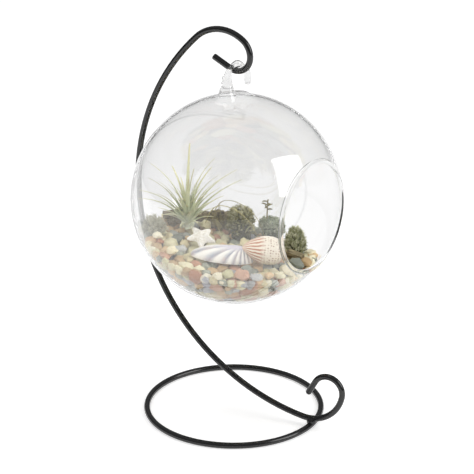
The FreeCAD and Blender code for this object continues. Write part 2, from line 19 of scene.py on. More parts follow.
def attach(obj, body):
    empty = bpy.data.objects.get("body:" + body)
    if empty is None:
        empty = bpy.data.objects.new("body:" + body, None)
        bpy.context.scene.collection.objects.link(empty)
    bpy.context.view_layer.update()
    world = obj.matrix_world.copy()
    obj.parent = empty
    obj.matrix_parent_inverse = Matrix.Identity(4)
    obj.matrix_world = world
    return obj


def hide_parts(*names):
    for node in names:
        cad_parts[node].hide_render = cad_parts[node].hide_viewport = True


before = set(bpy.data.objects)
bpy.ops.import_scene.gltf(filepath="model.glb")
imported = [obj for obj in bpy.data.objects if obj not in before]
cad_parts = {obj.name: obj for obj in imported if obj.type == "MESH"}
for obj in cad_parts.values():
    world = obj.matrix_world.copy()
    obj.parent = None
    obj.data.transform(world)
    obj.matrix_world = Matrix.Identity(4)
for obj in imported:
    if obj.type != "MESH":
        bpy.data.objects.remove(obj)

log = logging.getLogger("air_plant_holder")

MM = 0.001
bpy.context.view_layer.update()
UP = Vector((0, 0, 1))
GLOBE_CENTRE = Vector((1.9, 0, 131.64))
GLOBE_RADIUS = 60.0
BED_RADIUS = 58.1
BED_LEVEL = 103.54
BED_SLOPE = 0.1495
VIEW_TURN = 28.7
LEAF_TURN = 137.5
SPRAY_TURN = 2.39996


class Body(str, Enum):
    """The parts of the holder that move as one."""

    STAND = "stand"
    GLOBE = "globe"
    PLANT = "plant"


# Small tools.


def linear(colour: str) -> tuple[float, float, float, float]:
    """Turn an sRGB hex colour into linear light.

    Args:
        colour: Six hex digits with a leading hash.

    Returns:
        Red, green and blue in linear light, and an alpha of one.
    """
    parts = [int(colour[i : i + 2], 16) / 255 for i in (1, 3, 5)]
    red, green, blue = (v / 12.92 if v <= 0.04045 else ((v + 0.055) / 1.055) ** 2.4 for v in parts)
    return red, green, blue, 1.0


def per_metre(size_mm: float) -> float:
    """Scale of a texture whose features are a number of millimetres wide."""
    return 1 / (size_mm * MM)


def level(turn: float) -> Vector:
    """Unit vector in the XY plane at an angle in degrees from +X."""
    return Vector((math.cos(math.radians(turn)), math.sin(math.radians(turn)), 0))


def bed_top(x: float) -> float:
    """Height of the gravel's top at a place along X, in millimetres."""
    return BED_LEVEL + (GLOBE_CENTRE.x - x) * BED_SLOPE


def on_bed(x_share: float, y_share: float) -> Vector:
    """Point on the gravel's top, given as shares of the bed's radius from the globe's axis."""
    x = GLOBE_CENTRE.x + BED_RADIUS * x_share
    return Vector((x, GLOBE_CENTRE.y + BED_RADIUS * y_share, bed_top(x)))


def clear_selection() -> None:
    """Leave edit mode and deselect everything."""
    if bpy.context.object and bpy.context.object.mode != "OBJECT":
        bpy.ops.object.mode_set(mode="OBJECT")
    bpy.ops.object.select_all(action="DESELECT")


def pick(*pieces: bpy.types.Object) -> None:
    """Select only these pieces and make the first one active."""
    clear_selection()
    for piece in pieces:
        piece.select_set(True)
    bpy.context.view_layer.objects.active = pieces[0]


def edit(piece: bpy.types.Object, mode: str = "VERT", everything: bool = True) -> None:
    """Open a piece in edit mode.

    Args:
        piece: The mesh object to shape.
        mode: VERT, EDGE or FACE.
        everything: Whether all of it is selected at first.
    """
    pick(piece)
    bpy.ops.object.mode_set(mode="EDIT")
    bpy.ops.mesh.select_mode(type=mode)
    bpy.ops.mesh.select_all(action="SELECT" if everything else "DESELECT")


def leave_edit() -> None:
    """Go back to object mode."""
    bpy.ops.object.mode_set(mode="OBJECT")


def settle(piece: bpy.types.Object) -> bpy.types.Object:
    """Move a piece's place, turn and scale into its mesh."""
    pick(piece)
    bpy.ops.object.transform_apply(location=True, rotation=True, scale=True)
    return piece


def apply_modifier(piece: bpy.types.Object, kind: str, **settings: Any) -> None:
    """Add a modifier with its settings and apply it at once.

    Args:
        piece: The mesh object.
        kind: Blender's name for the kind of modifier.
        **settings: Values set on the modifier before it is applied.
    """
    pick(piece)
    modifier = piece.modifiers.new(kind.title(), kind)
    for name, value in settings.items():
        setattr(modifier, name, value)
    bpy.ops.object.modifier_apply(modifier=modifier.name)


def smooth_over(piece: bpy.types.Object, angle: float = 40) -> None:
    """Shade a piece smooth apart from edges sharper than an angle in degrees."""
    pick(piece)
    bpy.ops.object.shade_smooth_by_angle(angle=math.radians(angle))


def close_mesh(piece: bpy.types.Object, distance_mm: float = 0.01) -> None:
    """Merge doubled points and turn all faces outwards."""
    edit(piece)
    bpy.ops.mesh.remove_doubles(threshold=distance_mm * MM)
    bpy.ops.mesh.normals_make_consistent(inside=False)
    leave_edit()


def join(name: str, pieces: Sequence[bpy.types.Object]) -> bpy.types.Object:
    """Join pieces into one object with a name."""
    pick(*pieces)
    if len(pieces) > 1:
        bpy.ops.object.join()
    whole = bpy.context.object
    whole.name = name
    whole.data.name = name
    return whole


def mark_points(mesh: bpy.types.Mesh, name: str, values: Iterable[float]) -> None:
    """Write one number per point of a mesh, for its material to read."""
    attribute = mesh.attributes.get(name) or mesh.attributes.new(name, "FLOAT", "POINT")
    attribute.data.foreach_set("value", list(values))


def copy_of(master: bpy.types.Object, matrix: Matrix, tint: float) -> bpy.types.Object:
    """Copy a modelled master with its own mesh.

    Args:
        master: The piece that is modelled once.
        matrix: Where the copy goes, in metres.
        tint: Number from 0 to 1 that picks the copy's shade.

    Returns:
        The copy, linked to the scene, with its place in its mesh.
    """
    mesh = master.data.copy()
    mesh.transform(matrix)
    mark_points(mesh, "tint", [tint] * len(mesh.vertices))
    piece = bpy.data.objects.new(master.name + "_copy", mesh)
    bpy.context.scene.collection.objects.link(piece)
    return piece


def discard(*pieces: bpy.types.Object) -> None:
    """Delete helper objects with their meshes."""
    pick(*pieces)
    bpy.ops.object.delete()


def turned_to(out: Vector, spin: float) -> Matrix:
    """Turn that takes +Z to a direction, after a spin about it in radians."""
    return out.to_track_quat("Z", "Y").to_matrix().to_4x4() @ Matrix.Rotation(spin, 4, "Z")


def add(
    tree: bpy.types.NodeTree, kind: str, inputs: dict | None = None, stops: Sequence = (), **settings: Any
) -> bpy.types.Node:
    """Add a node with its settings and links.

    Args:
        tree: The material's or world's node tree.
        kind: Blender's node type.
        inputs: Values or output sockets for the node's inputs, by name or number.
        stops: Places and hex colours of a colour ramp.
        **settings: Properties of the node.

    Returns:
        The new node.
    """
    made = tree.nodes.new(kind)
    for name, value in settings.items():
        setattr(made, name, value)
    for name, value in (inputs or {}).items():
        if isinstance(value, bpy.types.NodeSocket):
            tree.links.new(value, made.inputs[name])
        else:
            made.inputs[name].default_value = value
    for i, (place, colour) in enumerate(stops):
        stop = made.color_ramp.elements[i] if i < 2 else made.color_ramp.elements.new(place)
        stop.position = place
        stop.color = linear(colour)
    return made


# Finishes.


@dataclass(frozen=True)
class Finish:
    """A material with a name, made once and put on pieces."""

    name: str

    def build(self, tree: bpy.types.NodeTree, shader: bpy.types.Node) -> None:
        """Dress the material's main shader; each kind of finish has its own way."""
        raise NotImplementedError

    def material(self) -> bpy.types.Material:
        """Make the material, or return it if it exists.

        Returns:
            The material with its nodes.
        """
        made = bpy.data.materials.get(self.name)
        if made:
            return made
        made = bpy.data.materials.new(self.name)
        made.use_nodes = True
        tree = made.node_tree
        self.build(tree, tree.nodes["Principled BSDF"])
        return made

    def dress(self, piece: bpy.types.Object) -> None:
        """Put the finish on a piece in place of all it had."""
        piece.data.materials.clear()
        piece.data.materials.append(self.material())


def object_place(tree: bpy.types.NodeTree) -> bpy.types.NodeSocket:
    """Object coordinates of the surface."""
    return add(tree, "ShaderNodeTexCoord").outputs["Object"]


def raise_surface(
    tree: bpy.types.NodeTree,
    shader: bpy.types.Node,
    height: bpy.types.NodeSocket,
    depth_mm: float,
    share: float,
) -> None:
    """Link a height pattern to a shader as a bump.

    Args:
        tree: The material's node tree.
        shader: The shader that gets the bump.
        height: The pattern, from 0 to 1.
        depth_mm: Depth of the pattern in millimetres.
        share: Strength of the bump, from 0 to 1.
    """
    bump = add(tree, "ShaderNodeBump", {"Strength": share, "Distance": depth_mm * MM, "Height": height})
    tree.links.new(bump.outputs["Normal"], shader.inputs["Normal"])


@dataclass(frozen=True)
class PowderCoat(Finish):
    """Satin powder coat, baked on steel wire: near black, with a fine orange peel."""

    name: str = "satin_powder_coat_on_steel"
    colour: str = "#08090A"
    worn: str = "#0F1011"
    peel_mm: float = 0.9
    peel_depth_mm: float = 0.012
    cloud_mm: float = 14.0

    def build(self, tree: bpy.types.NodeTree, shader: bpy.types.Node) -> None:
        """A soft, slightly uneven sheen along the wire comes from the peel and the roughness."""
        place = object_place(tree)
        peel = add(
            tree, "ShaderNodeTexNoise", {"Vector": place, "Scale": per_metre(self.peel_mm), "Detail": 2}
        )
        cloud = add(
            tree, "ShaderNodeTexNoise", {"Vector": place, "Scale": per_metre(self.cloud_mm), "Detail": 3}
        )
        tone = add(
            tree,
            "ShaderNodeValToRGB",
            {"Fac": cloud.outputs["Fac"]},
            stops=((0.35, self.colour), (0.7, self.worn)),
        )
        gloss = add(
            tree, "ShaderNodeMapRange", {"Value": cloud.outputs["Fac"], "To Min": 0.15, "To Max": 0.23}
        )
        tree.links.new(tone.outputs["Color"], shader.inputs["Base Color"])
        tree.links.new(gloss.outputs["Result"], shader.inputs["Roughness"])
        shader.inputs["Specular IOR Level"].default_value = 0.8
        raise_surface(tree, shader, peel.outputs["Fac"], self.peel_depth_mm, 0.18)


@dataclass(frozen=True)
class BlownGlass(Finish):
    """Clear borosilicate glass, blown and fire polished: no grain, only the faintest grey."""

    name: str = "blown_borosilicate_glass"
    tint: str = "#FEFEFE"
    bend: float = 1.012
    polish: float = 1.8

    def build(self, tree: bpy.types.NodeTree, shader: bpy.types.Node) -> None:
        """The thin wall hardly bends the view, while the polish on it mirrors like solid glass."""
        shader.inputs["Base Color"].default_value = linear(self.tint)
        shader.inputs["Roughness"].default_value = 0.0
        shader.inputs["IOR"].default_value = self.bend
        shader.inputs["Transmission Weight"].default_value = 1.0
        shader.inputs["Coat Weight"].default_value = 1.0
        shader.inputs["Coat Roughness"].default_value = 0.0
        shader.inputs["Coat IOR"].default_value = self.polish
        shader.inputs["Coat Tint"].default_value = linear(self.tint)
        path = add(tree, "ShaderNodeLightPath")
        clear = add(tree, "ShaderNodeBsdfTransparent", {"Color": linear("#F7F8F8")})
        mixed = add(
            tree,
            "ShaderNodeMixShader",
            {0: path.outputs["Is Shadow Ray"], 1: shader.outputs["BSDF"], 2: clear.outputs["BSDF"]},
        )
        tree.links.new(mixed.outputs["Shader"], tree.nodes["Material Output"].inputs["Surface"])


@dataclass(frozen=True)
class TumbledStone(Finish):
    """River gravel, tumbled smooth: each stone has its own shade, with fine veins and specks."""

    colours: tuple[str, ...] = ("#C9C2A0", "#DDD6BC")
    speck: str = "#8B8370"
    roughness: float = 0.55
    vein_mm: float = 3.2
    grain_mm: float = 0.7
    grain_depth_mm: float = 0.12

    def build(self, tree: bpy.types.NodeTree, shader: bpy.types.Node) -> None:
        """The tint gives the stone's shade, noise its veins, and a fine bump its dull polish."""
        place = object_place(tree)
        tint = add(tree, "ShaderNodeAttribute", attribute_name="tint")
        last = len(self.colours) - 1
        shade = add(
            tree,
            "ShaderNodeValToRGB",
            {"Fac": tint.outputs["Fac"]},
            stops=[(i / last, colour) for i, colour in enumerate(self.colours)],
        )
        vein = add(
            tree,
            "ShaderNodeTexNoise",
            {"Vector": place, "Scale": per_metre(self.vein_mm), "Detail": 4, "Roughness": 0.6},
        )
        fine = add(
            tree, "ShaderNodeTexNoise", {"Vector": place, "Scale": per_metre(self.grain_mm), "Detail": 2}
        )
        amount = add(
            tree,
            "ShaderNodeMapRange",
            {"Value": vein.outputs["Fac"], "From Min": 0.52, "From Max": 0.78, "To Max": 0.5},
        )
        veined = add(
            tree,
            "ShaderNodeMix",
            {"Factor": amount.outputs["Result"], 6: shade.outputs["Color"], 7: linear(self.speck)},
            data_type="RGBA",
        )
        gloss = add(
            tree,
            "ShaderNodeMapRange",
            {"Value": fine.outputs["Fac"], "To Min": self.roughness - 0.1, "To Max": self.roughness + 0.12},
        )
        tree.links.new(veined.outputs[2], shader.inputs["Base Color"])
        tree.links.new(gloss.outputs["Result"], shader.inputs["Roughness"])
        raise_surface(tree, shader, fine.outputs["Fac"], self.grain_depth_mm, 0.5)


@dataclass(frozen=True)
class PreservedPlant(Finish):
    """Preserved moss or dried grass: dull fibres whose shade differs from strand to strand."""

    colours: tuple[str, ...] = ("#4C4A2A", "#77744A")
    grain_mm: float = 2.0
    roughness: float = 0.85

    def build(self, tree: bpy.types.NodeTree, shader: bpy.types.Node) -> None:
        """The tint and a soft noise give each strand its shade; nothing on it shines."""
        place = object_place(tree)
        tint = add(tree, "ShaderNodeAttribute", attribute_name="tint")
        patch = add(
            tree, "ShaderNodeTexNoise", {"Vector": place, "Scale": per_metre(self.grain_mm), "Detail": 3}
        )
        mixed = add(
            tree,
            "ShaderNodeMath",
            {0: tint.outputs["Fac"], 1: patch.outputs["Fac"]},
            operation="ADD",
        )
        halved = add(tree, "ShaderNodeMath", {0: mixed.outputs[0], 1: 0.55}, operation="MULTIPLY")
        last = len(self.colours) - 1
        shade = add(
            tree,
            "ShaderNodeValToRGB",
            {"Fac": halved.outputs[0]},
            stops=[(0.1 + 0.8 * i / last, colour) for i, colour in enumerate(self.colours)],
        )
        tree.links.new(shade.outputs["Color"], shader.inputs["Base Color"])
        shader.inputs["Roughness"].default_value = self.roughness
        shader.inputs["Specular IOR Level"].default_value = 0.25
        raise_surface(tree, shader, patch.outputs["Fac"], 0.2, 0.6)


@dataclass(frozen=True)
class WeatheredBark(Finish):
    """Bark and driftwood, dried and weathered: long dark cracks in grey tan ridges."""

    name: str = "weathered_bark"
    ridge: str = "#A3987A"
    crack: str = "#4E4433"
    turn_deg: float = 41.0

    def build(self, tree: bpy.types.NodeTree, shader: bpy.types.Node) -> None:
        """Noise stretched along the stick gives the cracks their direction and their relief."""
        place = add(
            tree,
            "ShaderNodeMapping",
            {
                "Vector": object_place(tree),
                "Rotation": (0, 0, -math.radians(self.turn_deg)),
                "Scale": (0.22, 1, 1),
            },
        )
        grain = add(
            tree,
            "ShaderNodeTexNoise",
            {"Vector": place.outputs["Vector"], "Scale": per_metre(1.5), "Detail": 5, "Roughness": 0.65},
        )
        tone = add(
            tree,
            "ShaderNodeValToRGB",
            {"Fac": grain.outputs["Fac"]},
            stops=((0.36, self.crack), (0.5, "#7E7358"), (0.66, self.ridge)),
        )
        tree.links.new(tone.outputs["Color"], shader.inputs["Base Color"])
        shader.inputs["Roughness"].default_value = 0.85
        shader.inputs["Specular IOR Level"].default_value = 0.25
        raise_surface(tree, shader, grain.outputs["Fac"], 0.7, 0.8)


@dataclass(frozen=True)
class CockleShell(Finish):
    """Bleached cockle shell: chalky white ribs, grooves painted blue grey as shade, and a lilac crown."""

    name: str = "bleached_cockle_shell"
    rib: str = "#F4F1E8"
    # groove colour: painted shade in the grooves between the ribs
    groove: str = "#8E96A6"
    crown: str = "#CFCAD2"

    def build(self, tree: bpy.types.NodeTree, shader: bpy.types.Node) -> None:
        """The groove and reach marks on the mesh put the colour where the ribs are, with painted shade in the
        grooves.
        """
        place = object_place(tree)
        groove = add(tree, "ShaderNodeAttribute", attribute_name="groove")
        reach = add(tree, "ShaderNodeAttribute", attribute_name="reach")
        cloud = add(tree, "ShaderNodeTexNoise", {"Vector": place, "Scale": per_metre(4), "Detail": 3})
        # Painted shade of the grooves: blue grey, turning pinkish here and there.
        hollow = add(
            tree,
            "ShaderNodeValToRGB",
            {"Fac": cloud.outputs["Fac"]},
            stops=((0.35, self.groove), (0.7, "#B9A5A0")),
        )
        ribbed = add(
            tree,
            "ShaderNodeMix",
            {"Factor": groove.outputs["Fac"], 6: linear(self.rib), 7: hollow.outputs["Color"]},
            data_type="RGBA",
        )
        near = add(
            tree,
            "ShaderNodeMapRange",
            {"Value": reach.outputs["Fac"], "From Min": 0.3, "From Max": 0.62, "To Min": 1, "To Max": 0},
        )
        crowned = add(
            tree,
            "ShaderNodeMix",
            {"Factor": near.outputs["Result"], 6: ribbed.outputs[2], 7: linear(self.crown)},
            data_type="RGBA",
        )
        tree.links.new(crowned.outputs[2], shader.inputs["Base Color"])
        shader.inputs["Roughness"].default_value = 0.42
        raise_surface(tree, shader, cloud.outputs["Fac"], 0.15, 0.4)


@dataclass(frozen=True)
class WhelkShell(Finish):
    """Glossy sea snail shell: cream, with orange brown flames above and rows of brown dots."""

    name: str = "glossy_whelk_shell"
    ground: str = "#F1E7D4"
    flame: str = "#B4601C"
    dot: str = "#94602F"

    def build(self, tree: bpy.types.NodeTree, shader: bpy.types.Node) -> None:
        """The piece's own map runs round the shell and along it, so the marks follow the whorls."""
        chart = add(tree, "ShaderNodeUVMap", uv_map="whorl")
        apart = add(tree, "ShaderNodeSeparateXYZ", {"Vector": chart.outputs["UV"]})
        sway = add(
            tree, "ShaderNodeTexNoise", {"Vector": object_place(tree), "Scale": per_metre(6), "Detail": 2}
        )
        round_way = add(
            tree,
            "ShaderNodeMath",
            {0: apart.outputs["X"], 1: 20.0, 2: sway.outputs["Fac"]},
            operation="MULTIPLY_ADD",
        )
        waves = add(tree, "ShaderNodeMath", {0: round_way.outputs[0], 1: 2 * math.pi}, operation="MULTIPLY")
        flame = add(tree, "ShaderNodeMath", {0: waves.outputs[0]}, operation="SINE")
        flame_share = add(
            tree,
            "ShaderNodeMapRange",
            {"Value": flame.outputs[0], "From Min": -0.35, "From Max": 0.5, "To Max": 0.9},
        )
        upper = add(
            tree,
            "ShaderNodeMapRange",
            {"Value": apart.outputs["Y"], "From Min": 0.46, "From Max": 0.6},
        )
        band = add(
            tree,
            "ShaderNodeMath",
            {0: flame_share.outputs[0], 1: upper.outputs[0]},
            operation="MULTIPLY",
        )
        rows = add(
            tree, "ShaderNodeMapping", {"Vector": chart.outputs["UV"], "Scale": (34, 15, 1)}
        )
        spots = add(
            tree,
            "ShaderNodeTexVoronoi",
            {"Vector": rows.outputs["Vector"], "Scale": 1.0, "Randomness": 0.35},
        )
        dot = add(
            tree,
            "ShaderNodeMapRange",
            {
                "Value": spots.outputs["Distance"], "From Min": 0.2, "From Max": 0.34,
                "To Min": 0.9, "To Max": 0,
            },
        )
        lower = add(tree, "ShaderNodeMath", {0: 1.0, 1: upper.outputs[0]}, operation="SUBTRACT")
        dots = add(tree, "ShaderNodeMath", {0: dot.outputs[0], 1: lower.outputs[0]}, operation="MULTIPLY")
        dotted = add(
            tree,
            "ShaderNodeMix",
            {"Factor": dots.outputs[0], 6: linear(self.ground), 7: linear(self.dot)},
            data_type="RGBA",
        )
        marked = add(
            tree,
            "ShaderNodeMix",
            {"Factor": band.outputs[0], 6: dotted.outputs[2], 7: linear(self.flame)},
            data_type="RGBA",
        )
        tree.links.new(marked.outputs[2], shader.inputs["Base Color"])
        shader.inputs["Roughness"].default_value = 0.3


@dataclass(frozen=True)
class ChalkyShell(Finish):
    """Dried starfish or coral: chalky, with a fine grain of small bumps."""

    colours: tuple[str, ...] = ("#E9E4D6", "#FBF9F3")
    grain_mm: float = 0.8
    relief_mm: float = 0.35

    def build(self, tree: bpy.types.NodeTree, shader: bpy.types.Node) -> None:
        """Small cells give the grain, and the shade is deeper between them."""
        place = object_place(tree)
        cells = add(tree, "ShaderNodeTexVoronoi", {"Vector": place, "Scale": per_metre(self.grain_mm)})
        cloud = add(tree, "ShaderNodeTexNoise", {"Vector": place, "Scale": per_metre(5), "Detail": 3})
        both = add(
            tree,
            "ShaderNodeMath",
            {0: cells.outputs["Distance"], 1: cloud.outputs["Fac"]},
            operation="MULTIPLY",
        )
        last = len(self.colours) - 1
        shade = add(
            tree,
            "ShaderNodeValToRGB",
            {"Fac": both.outputs[0]},
            stops=[(0.45 - 0.4 * i / last, colour) for i, colour in reversed(list(enumerate(self.colours)))],
        )
        tree.links.new(shade.outputs["Color"], shader.inputs["Base Color"])
        shader.inputs["Roughness"].default_value = 0.75
        raise_surface(tree, shader, cells.outputs["Distance"], self.relief_mm, 0.6)


@dataclass(frozen=True)
class SilverLeaf(Finish):
    """Living air plant leaf: green under a felt of silver scales, paler towards its root."""

    name: str = "silver_scaled_leaf"
    root: str = "#DDE1CC"
    blade: str = "#C5CCA6"
    tip: str = "#D2C894"
    scale_mm: float = 0.7

    def build(self, tree: bpy.types.NodeTree, shader: bpy.types.Node) -> None:
        """The felt is a fine pale speckle with a soft sheen; drawn coarser than real to show."""
        place = object_place(tree)
        along = add(tree, "ShaderNodeAttribute", attribute_name="along")
        tint = add(tree, "ShaderNodeAttribute", attribute_name="tint")
        shade = add(
            tree,
            "ShaderNodeValToRGB",
            {"Fac": along.outputs["Fac"]},
            stops=((0.0, self.root), (0.3, self.blade), (1.0, self.tip)),
        )
        felt = add(
            tree, "ShaderNodeTexNoise", {"Vector": place, "Scale": per_metre(self.scale_mm), "Detail": 2}
        )
        amount = add(
            tree,
            "ShaderNodeMapRange",
            {"Value": felt.outputs["Fac"], "From Min": 0.4, "From Max": 0.75, "To Max": 0.6},
        )
        felted = add(
            tree,
            "ShaderNodeMix",
            {"Factor": amount.outputs["Result"], 6: shade.outputs["Color"], 7: linear("#D3D9C8")},
            data_type="RGBA",
        )
        varied = add(
            tree,
            "ShaderNodeMapRange",
            {"Value": tint.outputs["Fac"], "To Min": 0.82, "To Max": 1.12},
        )
        toned = add(
            tree,
            "ShaderNodeHueSaturation",
            {"Color": felted.outputs[2], "Value": varied.outputs["Result"]},
        )
        tree.links.new(toned.outputs["Color"], shader.inputs["Base Color"])
        shader.inputs["Roughness"].default_value = 0.6
        shader.inputs["Sheen Weight"].default_value = 0.25
        shader.inputs["Sheen Roughness"].default_value = 0.4
        raise_surface(tree, shader, felt.outputs["Fac"], 0.08, 0.5)


@dataclass(frozen=True)
class PlainSurround(Finish):
    """White paper floor: shows the object's shadow softly and is white beyond it."""

    name: str = "white_paper_floor"
    glow: float = 0.5
    glow_through_glass: float = 0.26

    def build(self, tree: bpy.types.NodeTree, shader: bpy.types.Node) -> None:
        """What is seen is part paper and part even white, so the shadow stays soft."""
        path = add(tree, "ShaderNodeLightPath")
        by_glass = add(
            tree,
            "ShaderNodeMath",
            {0: path.outputs["Is Transmission Ray"], 1: path.outputs["Is Glossy Ray"]},
            operation="MAXIMUM",
        )
        through = add(
            tree,
            "ShaderNodeMath",
            {0: by_glass.outputs[0], 1: self.glow_through_glass},
            operation="MULTIPLY",
        )
        seen = add(
            tree,
            "ShaderNodeMath",
            {0: path.outputs["Is Camera Ray"], 1: self.glow, 2: through.outputs[0]},
            operation="MULTIPLY_ADD",
        )
        paper = add(tree, "ShaderNodeBsdfDiffuse", {"Color": linear("#E6E6E6")})
        white = add(tree, "ShaderNodeEmission", {"Color": linear("#FFFFFF"), "Strength": seen.outputs[0]})
        lit = add(tree, "ShaderNodeAddShader", {0: paper.outputs["BSDF"], 1: white.outputs["Emission"]})
        tree.links.new(lit.outputs["Shader"], tree.nodes["Material Output"].inputs["Surface"])


# The stand and the glass.


@dataclass
class WireStand:
    """Ring foot, bowed wire and weld: the CAD's own shapes with a powder coat."""

    finish: PowderCoat = field(default_factory=PowderCoat)
    nodes: tuple[str, ...] = ("base_ring", "hook_arm", "arm_weld")

    def build(self) -> None:
        """Coat the three steel pieces."""
        for name in self.nodes:
            self.finish.dress(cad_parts[name])
            log.info("%s: coated", name)


@dataclass
class GlassGlobe:
    """Blown globe with its neck, side opening, melted rim and hook, as one piece of glass."""

    wall: float = 1.6
    opening_radius: float = 29.8
    opening_turn: float = -6.0
    rim_radius: float = 1.4
    neck_radius: float = 10.5
    neck_rise: float = 2.3
    neck_edge: float = 6.0
    neck_flare: float = 9.0
    rod_radius: float = 2.1
    bend_radius: float = 7.3
    hook_turn: float = 68.0
    hook_shift: float = 0.7
    seat: float = 206.34
    wire_radius: float = 1.75
    seat_gap: float = 0.15
    foot_outline: tuple[tuple[float, float], ...] = (
        (-3.0, 7.0), (-1.5, 6.0), (0.0, 5.15), (2.0, 4.35), (4.0, 3.75), (6.5, 3.15), (9.1, 2.7),
    )
    end_gap: float = 3.0
    steps: int = 160
    finish: BlownGlass = field(default_factory=BlownGlass)
    solid_finish: BlownGlass = field(
        default_factory=lambda: BlownGlass("melted_borosilicate_rod", bend=1.2)
    )

    def arc(self, centre: Vector, radius: float, first: float, last: float, count: int) -> list[Vector]:
        """Points along an arc in the XZ plane.

        Args:
            centre: Middle of the arc, in millimetres.
            radius: Its radius.
            first: Angle in radians where it starts, from +X towards +Z.
            last: Angle where it ends.
            count: How many points it gets.

        Returns:
            The points, ends included.
        """
        angles = [first + (last - first) * i / (count - 1) for i in range(count)]
        return [centre + Vector((radius * math.cos(a), 0, radius * math.sin(a))) for a in angles]

    def half_outline(
        self, sphere: float, top: float, height: float, edge: float, flare: float
    ) -> list[Vector]:
        """Outline of the sphere and its neck from the bottom pole to the axis on top.

        Args:
            sphere: Radius of the sphere.
            top: Radius of the neck.
            height: Level of the neck's flat top over the centre.
            edge: Radius of the neck's rounded edge.
            flare: Radius of the hollow curve between neck and sphere.

        Returns:
            Points in the XZ plane about the globe's centre, in millimetres.
        """
        crest = Vector((top - edge, 0, height - edge))
        far, near, span = sphere + flare, edge + flare, crest.length
        towards = crest / span
        aside = Vector((towards.z, 0, -towards.x))
        along = (far**2 - near**2 + span**2) / (2 * span)
        hollow = towards * along + aside * math.sqrt(far**2 - along**2)
        foot_angle = math.atan2(hollow.z, hollow.x)
        back_angle = foot_angle + math.pi
        crest_way = crest - hollow
        crest_angle = math.atan2(crest_way.z, crest_way.x)
        while crest_angle > back_angle:
            crest_angle -= 2 * math.pi
        while crest_angle < back_angle - math.pi:
            crest_angle += 2 * math.pi
        edge_way = hollow - crest
        points = self.arc(Vector((0, 0, 0)), sphere, -math.pi / 2, foot_angle, 92)
        points += self.arc(hollow, flare, back_angle, crest_angle, 8)[1:]
        points += self.arc(crest, edge, math.atan2(edge_way.z, edge_way.x), math.pi / 2, 8)[1:]
        points.append(Vector((0, 0, height)))
        return points

    def spun(self, name: str, points: Sequence[Vector]) -> bpy.types.Object:
        """Spin an outline about the globe's axis.

        Args:
            name: Name of the new object.
            points: Outline in the XZ plane about the centre, in millimetres.

        Returns:
            The closed mesh with its poles merged.
        """
        clear_selection()
        bpy.ops.mesh.primitive_plane_add(size=MM, location=GLOBE_CENTRE * MM)
        piece = bpy.context.object
        piece.name = name
        mesh = piece.data
        mesh.clear_geometry()
        mesh.from_pydata([p * MM for p in points], [(i, i + 1) for i in range(len(points) - 1)], [])
        settle(piece)
        edit(piece)
        bpy.ops.mesh.spin(
            steps=self.steps,
            angle=2 * math.pi,
            center=GLOBE_CENTRE * MM,
            axis=(0, 0, 1),
            use_auto_merge=True,
        )
        leave_edit()
        close_mesh(piece)
        return piece

    def blow_wall(self) -> bpy.types.Object:
        """Outer and inner skins of the globe, with the inner one turned to face its hollow."""
        top = GLOBE_RADIUS + self.neck_rise
        outer = self.half_outline(GLOBE_RADIUS, self.neck_radius, top, self.neck_edge, self.neck_flare)
        inner = self.arc(Vector((0, 0, 0)), GLOBE_RADIUS - self.wall, -math.pi / 2, math.pi / 2, 100)
        skin = self.spun("glass_globe_wall", outer)
        hollow = self.spun("glass_hollow", inner)
        self.cut(skin, hollow, "DIFFERENCE")
        return skin

    def cut(self, piece: bpy.types.Object, tool: bpy.types.Object, way: str) -> None:
        """Join or cut with a second closed shape, and delete that shape."""
        apply_modifier(piece, "BOOLEAN", operation=way, solver="EXACT", object=tool)
        discard(tool)

    def open_side(self, globe: bpy.types.Object) -> None:
        """Cut the round opening and melt a bead round its edge."""
        facing = level(self.opening_turn)
        bead = self.opening_radius + self.rim_radius
        depth = math.sqrt((GLOBE_RADIUS - self.wall / 2) ** 2 - bead**2)
        turn = facing.to_track_quat("Z", "Y").to_euler()
        clear_selection()
        bpy.ops.mesh.primitive_cylinder_add(
            vertices=144,
            radius=bead * MM,
            depth=GLOBE_RADIUS * MM,
            location=(GLOBE_CENTRE + facing * (GLOBE_RADIUS * 0.9)) * MM,
            rotation=turn,
        )
        self.cut(globe, settle(bpy.context.object), "DIFFERENCE")
        clear_selection()
        bpy.ops.mesh.primitive_torus_add(
            major_segments=144,
            minor_segments=20,
            major_radius=bead * MM,
            minor_radius=self.rim_radius * MM,
            location=(GLOBE_CENTRE + facing * depth) * MM,
            rotation=turn,
        )
        self.cut(globe, settle(bpy.context.object), "UNION")

    def draw_hook(self) -> bpy.types.Object:
        """Bent rod with a flared foot and a rounded free end, drawn out ring by ring."""
        across = level(self.hook_turn)
        top = self.seat + self.wire_radius + self.seat_gap + self.rod_radius
        neck_top = GLOBE_CENTRE.z + GLOBE_RADIUS + self.neck_rise
        middle = Vector((GLOBE_CENTRE.x, GLOBE_CENTRE.y, top - self.bend_radius))
        stem = middle - across * (self.bend_radius - self.hook_shift / 2)
        turn_middle = stem + across * self.bend_radius
        free_length = middle.z - (neck_top + self.end_gap + self.rod_radius)
        start = self.foot_outline[0]
        centre = Vector((stem.x, stem.y, neck_top + start[0]))
        radius = start[1]
        clear_selection()
        bpy.ops.mesh.primitive_circle_add(
            vertices=28, radius=radius * MM, fill_type="NGON", location=centre * MM
        )
        piece = bpy.context.object
        piece.name = "glass_hook_rod"
        settle(piece)
        edit(piece)
        for height, width in self.foot_outline[1:]:
            centre = self.pull(centre, Vector((stem.x, stem.y, neck_top + height)), radius, width)
            radius = width
        axis = across.cross(UP)
        bends = 20
        for _ in range(bends):
            step = Matrix.Rotation(-math.pi / bends, 4, axis)
            nxt = turn_middle + step @ (centre - turn_middle)
            width = max(self.rod_radius, radius - 0.1)
            self.pull(centre, nxt, radius, width)
            radius = width
            bpy.ops.transform.rotate(
                value=self.signed_turn(math.pi / bends),
                orient_axis="Z",
                orient_matrix=self.frame_about(axis),
                center_override=nxt * MM,
            )
            centre = nxt
        centre = self.pull(centre, centre - UP * free_length, radius, radius)
